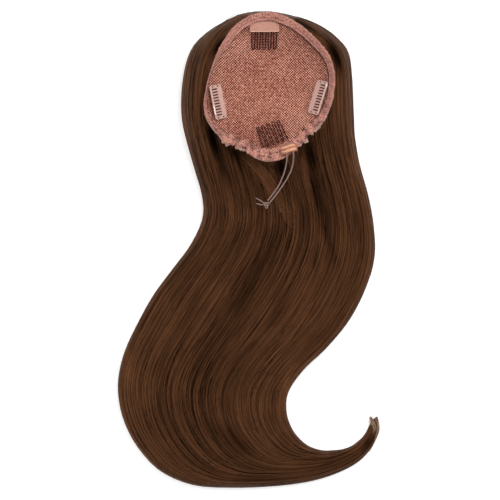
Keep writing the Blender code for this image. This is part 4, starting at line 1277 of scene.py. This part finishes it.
# side, drift, start, end, depth, spread: the grooves between the locks
GROOVE_ROWS = [
    (-0.86, 0.06, 0.05, 0.96, 0.07, 0.06),
    (-0.70, 0.05, 0.12, 0.50, 0.20, 0.07),
    (-0.62, 0.08, 0.42, 0.98, 0.08, 0.08),
    (-0.43, 0.12, 0.20, 0.46, 0.26, 0.09),
    (-0.28, 0.06, 0.36, 0.95, 0.10, 0.09),
    (-0.08, 0.10, 0.24, 0.60, 0.12, 0.08),
    (0.06, -0.08, 0.48, 0.98, 0.09, 0.09),
    (0.24, 0.04, 0.26, 0.78, 0.10, 0.08),
    (0.42, 0.08, 0.18, 0.50, 0.30, 0.09),
    (0.56, -0.06, 0.40, 0.98, 0.08, 0.08),
    (0.72, 0.05, 0.04, 0.60, 0.16, 0.07),
    (0.88, -0.04, 0.10, 0.96, 0.07, 0.05),
]
fine_rows = smooth_rows(HAIR_ROWS, np.linspace(0, len(HAIR_ROWS) - 1, 1400))
fine_x = fine_rows[:, 1] * LAID_WIDTH + CAD_SHIFT.x
fine_y = (0.5 - fine_rows[:, 0]) * LAID_LENGTH + CAD_SHIFT.y
fine_run = length_along(np.stack([fine_x, fine_y], 1))
PATH_LENGTH = fine_run[-1]
fine_run = fine_run / PATH_LENGTH
fine_turn = np.radians(fine_rows[:, 2])
fine_half = fine_rows[:, 3] * LAID_WIDTH / 2
FLOW = {
    "x": fine_x,
    "y": fine_y,
    "across_x": np.cos(fine_turn) * fine_half,
    "across_y": np.sin(fine_turn) * fine_half,
    "height": fine_rows[:, 4] * PILE_HEIGHT + fine_rows[:, 5] * RIM_HEIGHT,
}
print("the path is", round(PATH_LENGTH, 3), "m long")

# %% [markdown]
# The surface of the hair is its section's crown, less the grooves between the big locks, less
# the small valleys between clumps of hair. The clumps are a few sine waves across the hair, bent
# a little along the way so that they never run quite parallel.

# %% The surface of the hair
CLUMP_HEIGHT = 0.9 * MM


def groove_depth(side, run):
    """How deep the grooves between the big locks are."""
    depth = np.zeros(np.broadcast(side, run).shape)
    for at, drift, start, end, deep, spread in GROOVE_ROWS:
        share = np.clip((run - start) / (end - start), 0, 1)
        valley = np.exp(-(((side - at - drift * share) / spread) ** 2))
        depth += deep * PILE_HEIGHT * valley * np.sqrt(np.sin(math.pi * share).clip(0))
    return depth


def clump_relief(side, run):
    """The small waves between clumps, from -1 to 1."""
    sway = 0.03 * np.sin(run * 9 + side * 3) + 0.02 * np.sin(run * 17 + 2)
    bent = side + sway
    first = np.sin(bent * 74 + 2.0 * np.sin(bent * 5 + run * 4))
    second = np.sin(bent * 133 + 2.6 * np.sin(bent * 7 - run * 6) + 1)
    third = np.sin(bent * 37 + 1.4 * np.sin(run * 7) + 2)
    return 0.4 * first + 0.25 * second + 0.35 * third


def hair_surface(run, side, lift=0.0):
    """Points on the hair, a lift above it, at shares of the run and places across it."""
    run, side = np.broadcast_arrays(np.asarray(run, float), np.asarray(side, float))
    at = {key: np.interp(run, fine_run, values) for key, values in FLOW.items()}
    crown = np.sqrt(np.clip(1 - np.abs(side) ** HAIR_ROUNDNESS, 0, 1))
    waist = HAIR_WAIST * at["height"]
    thin = np.clip(at["height"] / PILE_HEIGHT, 0, 1)
    dip = groove_depth(side, run) - CLUMP_HEIGHT * (clump_relief(side, run) - 1) * thin
    z = waist + (at["height"] - waist) * crown - dip * crown + lift
    x = at["x"] + at["across_x"] * side
    y = at["y"] + at["across_y"] * side
    return np.stack([x, y, z], -1)


sample = hair_surface(np.array([0.3, 0.6, 0.9]), 0.0)
print("crown heights", [round(z * 1000, 1) for z in sample[:, 2]], "mm")

# %% [markdown]
# ## The mass of the hair
# Below the locks lies the mass of the hair, which fills the shape and keeps the table from
# showing through. It is a loft of closed sections. Inside the rim it has to stay under the net,
# so each point there is lowered to the CAD hair, found by a ray from above.

# %% Hair mass
MASS_STATIONS = 300
MASS_CROWN_POINTS = 190
BELOW_LOCKS = 0.4 * MM
LEAST_HEIGHT = 0.6 * MM
ABOVE_ALL = 200 * MM  # where rays start from
# the underside of a section: places across it, and heights as shares of the crown's
UNDERSIDE = [(0.985, 0.09), (0.92, 0), (0.45, 0), (0, 0), (-0.45, 0), (-0.92, 0), (-0.985, 0.09)]


def tree_of(piece):
    """A piece's faces, sorted so that a ray finds the first that it meets."""
    mesh = piece.data
    return BVHTree.FromPolygons([v.co for v in mesh.vertices], [f.vertices for f in mesh.polygons])


def height_under(tree, x, y):
    """The height of a piece's top at a place seen from above, or None beside it."""
    hit = tree.ray_cast(Vector((x, y, ABOVE_ALL)), Vector((0, 0, -1)))[0]
    return None if hit is None else hit.z


crown_spread = np.linspace(-1, 1, MASS_CROWN_POINTS)
crown_side = crown_spread * (1.25 - 0.25 * crown_spread**2)
stations = np.linspace(0, 1, MASS_STATIONS) ** 1.15
top = hair_surface(stations[:, None], crown_side[None, :], -BELOW_LOCKS)
angle, out = cap_polar(top[..., 0], top[..., 1])
cad_tree = tree_of(nodes["hair"])
for i, j in zip(*np.nonzero(out < rim_at(angle)["reach"] + 2.5 * MM)):
    ceiling = height_under(cad_tree, *top[i, j, :2])
    if ceiling is not None:
        top[i, j, 2] = min(top[i, j, 2], ceiling)
top[..., 2] = np.maximum(top[..., 2], LEAST_HEIGHT)
under = hair_surface(stations[:, None], [side for side, _ in UNDERSIDE])
crown_height = np.interp(stations, fine_run, FLOW["height"])
under[..., 2] = crown_height[:, None] * [share for _, share in UNDERSIDE] + 0.1 * MM
mass = loft("hair_mass", np.concatenate([top, under], 1))
print(mass.name, "of", MASS_STATIONS, "sections")

# %% [markdown]
# ### Light and dark in the hair
# Hair isn't one tone. It is lighter where it bends over the outer edges and faces the light, and
# almost black in the gaps between locks, most of all under the rim where the light hardly
# reaches. A short table of soft patches holds this, and each piece of hair keeps what the table
# says at its points as an attribute for the material to read.

# %% Tone of the hair
# x and y in mm, half-length and half-width in mm, direction in degrees, tone from -1 to 1
TONE_ROWS = [
    (-45, 228, 20, 5.0, 50, 0.55),
    (-66, 183, 34, 4.5, 82, 0.55),
    (-68, 134, 34, 4.0, 92, 0.40),
    (98, 161, 26, 3.0, 85, 0.50),
    (108, 182, 30, 3.5, 88, 0.25),
    (112, 90, 40, 4.0, 96, 0.30),
    (16, 90, 16, 4.0, -50, 0.35),
    (38, -157, 30, 3.8, 80, 0.50),
    (50, -86, 38, 10.0, 50, 0.22),
    (-131, -127, 34, 4.5, 85, 0.30),
    (-85, -239, 34, 4.5, -35, 0.30),
    (-49, 30, 22, 3.5, 75, 0.35),
    (-38, -51, 18, 9.0, 50, 0.20),
    (-14, 102, 14, 5.0, -50, -0.45),
    (-39, 120, 16, 4.5, -75, -0.85),
    (67, 103, 18, 5.5, -75, -0.75),
    (74, 59, 34, 4.5, -72, -0.55),
    (84, 15, 26, 4.5, -72, -0.35),
    (36, 88, 12, 6.0, -80, -0.75),
    (-30, 97, 30, 4.5, -72, -0.50),
    (-32, 217, 10, 4.0, 60, -0.95),
    (92, 210, 18, 4.5, -65, -0.90),
    (58, 240, 16, 4.0, -35, -0.50),
    (2, -32, 34, 8.0, 60, -0.25),
    (-20, -203, 30, 8.0, -40, -0.30),
    (-50, -130, 30, 8.0, 75, -0.18),
    (-75, 150, 90, 28, 88, -0.10),
    (-35, 225, 50, 22, 40, -0.10),
    (20, 75, 60, 26, 0, -0.10),
    (129, -209, 10, 3.5, 55, -0.50),
]


def tone_at(points):
    """The sum of the soft patches at points, seen from above."""
    total = np.zeros(len(points))
    for x, y, half_long, half_wide, direction, tone in TONE_ROWS:
        turned = math.radians(direction)
        dx, dy = points[:, 0] - x * MM, points[:, 1] - y * MM
        along = (dx * math.cos(turned) + dy * math.sin(turned)) / (half_long * MM)
        aside = (dy * math.cos(turned) - dx * math.sin(turned)) / (half_wide * MM)
        total += tone * np.exp(-(along**2) - aside**2)
    return total.clip(-1, 1)


def paint_tone(piece, extra=0.0):
    """Keeps the table's tone, with an extra for the whole piece, on a piece's points."""
    values = (tone_at(points_of(piece)) + extra).clip(-1, 1)
    layer = piece.data.attributes.new("tone", "FLOAT", "POINT")
    layer.data.foreach_set("value", values.astype(np.float32))


print(len(TONE_ROWS), "patches of tone")

# %% [markdown]
# ### Hair material: dyed human hair
# Hair is keratin with an IOR of 1.55. Its colour is dark chestnut, but no two strands match:
# some are almost black, some are sun-browned. It shines along its length. Every piece of hair
# carries a UV map whose x is the way along it and whose y is the strand's own shade, so one
# recipe colours them all: a shade for the strand, a slow change along it, and pale dry tips.

# %% Hair material
def hair_material(name, across_scale, along_scale, shade_weight, dark="#0f0502", light="#66412a"):
    """Hair whose streaks follow the UV map, and whose y there also shades whole strands."""
    hair, hair_shader = start_material(name, Roughness=0.45, IOR=1.55, Specular_Tint="#b58a62")
    place = add_node(hair, "TexCoord", {}).outputs
    strand = add_node(hair, "SeparateXYZ", {0: place["UV"]}).outputs["Y"]
    stretch = {"Vector": place["UV"], "Scale": (along_scale, across_scale, 1)}
    stretched = add_node(hair, "Mapping", stretch)
    streak_values = {"Vector": stretched, "Scale": 1.0, "Detail": 4.0, "Roughness": 0.7}
    streaks = add_node(hair, "TexNoise", streak_values, noise_dimensions="2D")
    broad_values = {"Vector": place["Object"], "Scale": 1 / (50 * MM), "Detail": 2.0}
    broad = add_node(hair, "TexNoise", broad_values)
    shade = streaks
    for extra, weight in ((strand, shade_weight), (broad, 0.5)):
        shade = add_node(hair, "Math", {0: extra, 1: weight, 2: shade}, operation="MULTIPLY_ADD")
    spread = {"From Min": 0.48 + shade_weight * 0.27, "From Max": 1.02 + shade_weight * 0.70}
    share = add_node(hair, "MapRange", {"Value": shade, **spread})
    tone = add_node(hair, "Attribute", {}, attribute_name="tone").outputs["Fac"]
    toned_values = {0: tone, 1: 0.55, 2: share}
    toned = add_node(hair, "Math", toned_values, operation="MULTIPLY_ADD", use_clamp=True)
    dyed = add_node(hair, "Mix", {0: toned, 6: dark, 7: light}, data_type="RGBA")
    # Where the tone is below nought hardly any daylight reaches, and the hair loses its shine too.
    daylight = add_node(hair, "MapRange", {"Value": tone, "From Min": -1.0, "From Max": 0.0})
    shaded = add_node(hair, "Mix", {0: daylight, 6: "#0b0402", 7: dyed}, data_type="RGBA")
    shine = add_node(hair, "Math", {0: daylight, 1: 0.15}, operation="MULTIPLY")
    set_inputs(hair, hair_shader, {"Base Color": shaded, "Specular IOR Level": shine})
    return hair


# Across the hair a streak is about 1 mm wide; along it, it changes every 60 mm or so.
mass_hair = hair_material("chestnut_hair_mass", 260, 9, 0.0)
paint_tone(mass)
finish_piece(mass, mass_hair, "hair", "hair")

# %% [markdown]
# ## Locks of hair
# Real hair is some hundred thousand strands, far too many to model. What the eye reads is the
# clump: a dozen hairs that lie together as one line a millimetre wide. Each clump here is a
# slim closed tube with three sides and pointed ends, laid along the flow a little above the
# mass, and given a shade of its own. They are made in groups, to keep each piece a fair size.

# %% Making locks
LOCK_POINTS = 40
LOCK_FLATNESS = 0.6
LEAST_KEPT_POINTS = 6
ROOT_DEPTH = 0.7 * MM
generator = np.random.default_rng(1207)


def lock_tubes(name, paths, widths, shades):
    """Closed three-sided tubes along paths, an array (locks, points, 3)."""
    count, points = paths.shape[:2]
    sideways, upward = (axis[:, :, None] for axis in frames_along(paths))
    turn = np.radians([90, 210, 330])[:, None]
    along = np.linspace(0, 1, points)
    radius = widths[:, None] / 2 * np.sin(math.pi * np.clip(along, 0.02, 0.98)) ** 0.4
    round_it = np.cos(turn) * sideways + LOCK_FLATNESS * np.sin(turn) * upward
    rings = paths[:, :, None] + radius[:, :, None, None] * round_it
    body = rings[:, 1:-1].reshape(count, -1, 3)
    tubes = np.concatenate([paths[:, :1], body, paths[:, -1:]], 1)
    size = tubes.shape[1]
    k = np.arange(3)
    i, j = index_pairs(points - 3, 3)
    a, b = 1 + i * 3 + j, 1 + i * 3 + (j + 1) % 3
    quads = np.stack([a, a + 3, b + 3, b], 1)
    last = size - 4
    first_tip = np.stack([np.zeros(3, int), 1 + k, 1 + (k + 1) % 3], 1)
    last_tip = np.stack([np.full(3, size - 1), last + (k + 1) % 3, last + k], 1)
    offsets = (np.arange(count) * size)[:, None, None]
    tips = np.concatenate([first_tip, last_tip])
    faces = [(quads + offsets).reshape(-1, 4), (tips + offsets).reshape(-1, 3)]
    way = np.concatenate([[0], np.repeat(along[1:-1], 3), [1]])
    uv = np.stack([np.tile(way, count), np.repeat(shades, size)], -1)
    return skin(name, tubes.reshape(-1, 3), faces, [uv[group.ravel()] for group in faces])


def flow_paths(start, end, side, drift, sway, phase, lift):
    """The lines that locks follow: arrays of one number each, as shares of run and side."""
    start, end, side, drift, sway, phase, lift = (
        column[:, None] for column in (start, end, side, drift, sway, phase, lift)
    )
    share = np.linspace(0, 1, LOCK_POINTS)[None, :]
    wave = np.sin(math.tau * (share * 1.3 + phase))
    place = side + drift * (share - 0.5) + sway * wave
    risen = np.sin(math.pi * np.clip(share, 0.01, 0.99)) ** 0.35
    height = lift * risen - ROOT_DEPTH * (1 - risen)
    return hair_surface(start + (end - start) * share, place.clip(-1.0, 1.0), height)


def clear_of_cap(paths, spare=1.5 * MM):
    """Cuts paths where they would cross the cap: which of them stay, and their longest parts."""
    angle, out = cap_polar(paths[..., 0], paths[..., 1])
    outside = out > rim_at(angle)["reach"] - spare
    chosen, kept = [], []
    for number, (path, clear) in enumerate(zip(paths, outside)):
        edges = np.flatnonzero(np.diff(np.concatenate([[0], clear.astype(int), [0]])))
        spans = [(b - a, a, b) for a, b in zip(edges[::2], edges[1::2])]
        length, a, b = max(spans, default=(0, 0, 0))
        if length >= LEAST_KEPT_POINTS:
            wanted = np.linspace(a, b - 1, LOCK_POINTS)
            chosen.append(number)
            kept.append(read_line(path, np.arange(LOCK_POINTS), wanted))
    return chosen, np.array(kept)


def grow_locks(name, count, run_range, length_range, width_range, lift_range):
    """A group of locks laid at random along the flow, from a seeded generator."""
    side = generator.uniform(-1, 1, count)
    side = side * (1.2 - 0.2 * side**2)
    start = generator.uniform(*run_range, count)
    end = np.minimum(start + generator.uniform(*length_range, count), 1.0)
    drift, sway = generator.normal(0, 0.035, count), generator.normal(0, 0.008, count)
    phase, lift = generator.uniform(0, 1, count), generator.uniform(*lift_range, count)
    chosen, kept = clear_of_cap(flow_paths(start, end, side, drift, sway, phase, lift))
    widths = generator.uniform(*width_range, count)[chosen]
    return lock_tubes(name, kept, widths, generator.beta(2.0, 2.6, count)[chosen])


lock_hair = hair_material("chestnut_hair_locks", 30, 6, 1.0)
# name, locks, where they start and how long they are as shares of the run, width, lift
LOCK_GROUPS = [
    ("locks_crown", 560, (-0.02, 0.25), (0.25, 0.6), (0.7 * MM, 1.5 * MM), (0.0, 0.9 * MM)),
    ("locks_upper", 620, (0.12, 0.45), (0.3, 0.6), (0.7 * MM, 1.4 * MM), (0.0, 0.8 * MM)),
    ("locks_middle", 680, (0.3, 0.65), (0.3, 0.7), (0.7 * MM, 1.4 * MM), (0.0, 0.8 * MM)),
    ("locks_lower", 620, (0.5, 0.85), (0.3, 0.5), (0.6 * MM, 1.2 * MM), (0.0, 0.8 * MM)),
]
for row in LOCK_GROUPS:
    group = grow_locks(*row)
    paint_tone(group)
    finish_piece(group, lock_hair, "hair")

# %% [markdown]
# ## Locks that go their own way
# A few locks don't follow the S. One crosses under the cap at the lower left, thin wisps hang
# from the gathered rim at the right, and one overlaps its neighbour at the top right. Each
# bundle has a route, seen from above, and its hairs spread about that route and lie on the mass.

# %% Bundles
BUNDLE_CLEARANCE = 2.5 * MM
mass_tree = tree_of(mass)
# name, hairs, hair width, lift, half-widths at both ends in mm, tone, route in mm
BUNDLES = [
    ("lock_crossing", 90, 0.8, 1.2, 7.5, 5.0, 0.08,
     [(-12, 107), (2, 95), (19, 75), (36, 50), (50, 19), (56, -12)]),
    ("lock_below_rim", 50, 0.8, 0.9, 5.0, 4.0, -0.12, [(22, 90), (32, 74), (46, 50), (58, 18)]),
    ("wisps_right", 16, 0.45, 1.5, 3.0, 4.0, 0.75, [(56, 105), (60, 88), (65, 65), (71, 38)]),
    ("wisps_rim", 14, 0.45, 1.2, 5.0, 3.0, 0.6, [(70, 124), (74, 104), (77, 80), (79, 52)]),
    ("lock_top_right", 100, 0.9, 2.2, 5.0, 5.0, 0.05,
     [(48, 248), (75, 236.5), (95, 220.5), (105, 196), (108, 150), (110, 100)]),
    ("lock_top_left", 60, 0.9, 1.6, 4.0, 5.0, 0.15,
     [(0, 255), (-28, 238), (-46, 214), (-54, 186), (-56, 150), (-54, 110)]),
]


def laid_on_hair(spots, lift):
    """Points on the mass under places seen from above, raised by a lift."""
    laid, ground = [], 12 * MM
    for (x, y), up in zip(spots, lift):
        hit = height_under(mass_tree, x, y)
        # Just outside the mass a hair keeps about the height that it had.
        ground = 0.97 * ground if hit is None else hit
        laid.append((x, y, ground + up))
    return laid


share = np.linspace(0, 1, LOCK_POINTS)
for name, count, hair_width, lift, first_half, last_half, tone, route in BUNDLES:
    middle = smooth_rows(np.array(route) * MM, share * (len(route) - 1))
    forward = np.gradient(middle, axis=0)
    aside = np.stack([-forward[:, 1], forward[:, 0]], 1) / np.linalg.norm(forward, axis=1)[:, None]
    half = (first_half + (last_half - first_half) * share) * MM
    laid = []
    for _ in range(count):
        place, bend = generator.uniform(-1, 1), generator.normal(0, 0.12)
        place = place + bend * np.sin(share * 3 + generator.uniform(0, 6))
        wanted = np.linspace(generator.uniform(0, 0.12), generator.uniform(0.7, 1.0), LOCK_POINTS)
        spots = read_line(middle + aside * (place * half)[:, None], share, wanted)
        ends = np.sin(math.pi * np.clip(share, 0.01, 0.99)) ** 0.4
        dome = 0.35 + 0.65 * math.sqrt(max(0.0, 1 - np.clip(place.mean(), -1, 1) ** 2))
        laid.append(laid_on_hair(spots, (lift * dome * ends - 0.5 * (1 - ends)) * MM))
    _, kept = clear_of_cap(np.array(laid), BUNDLE_CLEARANCE)
    widths = generator.uniform(0.7, 1.3, len(kept)) * hair_width * MM
    bundle = lock_tubes(name, kept, widths, generator.beta(2.0, 2.4, len(kept)))
    paint_tone(bundle, tone)
    finish_piece(bundle, lock_hair, "hair")

# %% [markdown]
# ## The tip and the stray hairs
# The hair was cut to one length, so the curl ends in a small dry brush. Its hairs begin inside the
# mass, lie in two clumps and have gone pale, so they have a dry version of the hair's material.
# Along both sides a few single hairs stray from the smooth edge.

# %% Tip and stray hairs
TIP_HAIRS = 70
TIP_CLUMPS = [-0.55, 0.7]
tip_paths = []
for _ in range(TIP_HAIRS):
    across = generator.choice(TIP_CLUMPS) + generator.normal(0, 0.24)
    begin = (127.0 + 3.0 * across, -215.0 - 3.0 * across, 2.6)
    bend = (137.0 + 3.0 * across, -195.0 - 1.5 * across, 4.6)
    end_x = 133.6 + 5.2 * across + generator.normal(0, 0.7)
    end = (end_x, -178.5 - generator.gamma(2.0, 2.0), 3.4)
    rows = np.array([begin, bend, end]) * MM
    rows[:, 2] += generator.normal(0, 0.7, 3) * MM
    tip_paths.append(smooth_rows(rows, np.linspace(0, 2, LOCK_POINTS)))
tip_widths = generator.uniform(0.4, 0.9, TIP_HAIRS) * MM
tip = lock_tubes("tip_brush", np.array(tip_paths), tip_widths, generator.uniform(0, 1, TIP_HAIRS))
paint_tone(tip)
dry_hair = hair_material("dry_chestnut_hair_tips", 30, 6, 1.0, "#4a3020", "#b3947c")
finish_piece(tip, dry_hair, "hair")

STRAY_HAIRS = 110
edge_side = generator.choice([-1.0, 1.0], STRAY_HAIRS)
strays = flow_paths(
    generator.uniform(0.02, 0.8, STRAY_HAIRS),
    generator.uniform(0.25, 1.0, STRAY_HAIRS),
    edge_side * generator.uniform(0.955, 1.0, STRAY_HAIRS),
    edge_side * generator.normal(0.012, 0.02, STRAY_HAIRS),
    generator.normal(0, 0.006, STRAY_HAIRS),
    generator.uniform(0, 1, STRAY_HAIRS),
    generator.uniform(0.2 * MM, 1.2 * MM, STRAY_HAIRS),
)
_, kept = clear_of_cap(strays)
stray_widths = generator.uniform(0.35, 0.7, len(kept)) * MM
stray_hair = lock_tubes("stray_hairs", kept, stray_widths, generator.uniform(0.4, 1, len(kept)))
paint_tone(stray_hair, 0.2)
finish_piece(stray_hair, lock_hair, "hair")

# %% [markdown]
# ## Floor and light
# The hairpiece lies on a plain white light table, which glows a little and so shows hardly any
# shadow. The rest is soft studio light: a bright even room, and one large lamp high on the upper
# right, which gives the hair its sheen and puts the inside of the right rim in shade.

# %% Floor, lamps and room
floor = start_from(bpy.ops.mesh.primitive_plane_add, "floor", size=8, location=(0, 0, -0.5 * MM))
floor_paint, shader = start_material(
    "white_matt_floor", Roughness=0.9, Specular_IOR_Level=0.2, Base_Color="#f6f6f6",
    Emission_Color="#ffffff", Emission_Strength=0.3,
)
floor.data.materials.append(floor_paint)

LAMPS = [
    ("key", (0.75, 0.85, 1.5), 1.0, 20.0),
    ("fill", (-1.0, -0.2, 1.4), 1.4, 7.0),
]
for name, place, size, power in LAMPS:
    bpy.ops.object.light_add(type="AREA", location=place)
    lamp = bpy.context.object
    lamp.name = name
    lamp.data.size = size
    lamp.data.energy = power
    aim = Vector((0.02, 0.05, 0.03)) - Vector(place)
    lamp.rotation_euler = aim.to_track_quat("-Z", "Y").to_euler()
room = bpy.data.worlds.new("white_room")
room.use_nodes = True
room.node_tree.nodes["Background"].inputs["Color"].default_value = (1, 1, 1, 1)
room.node_tree.nodes["Background"].inputs["Strength"].default_value = 0.75
bpy.context.scene.world = room
bpy.context.scene.view_settings.view_transform = "Standard"
print("lamps:", ", ".join(name for name, *_ in LAMPS))
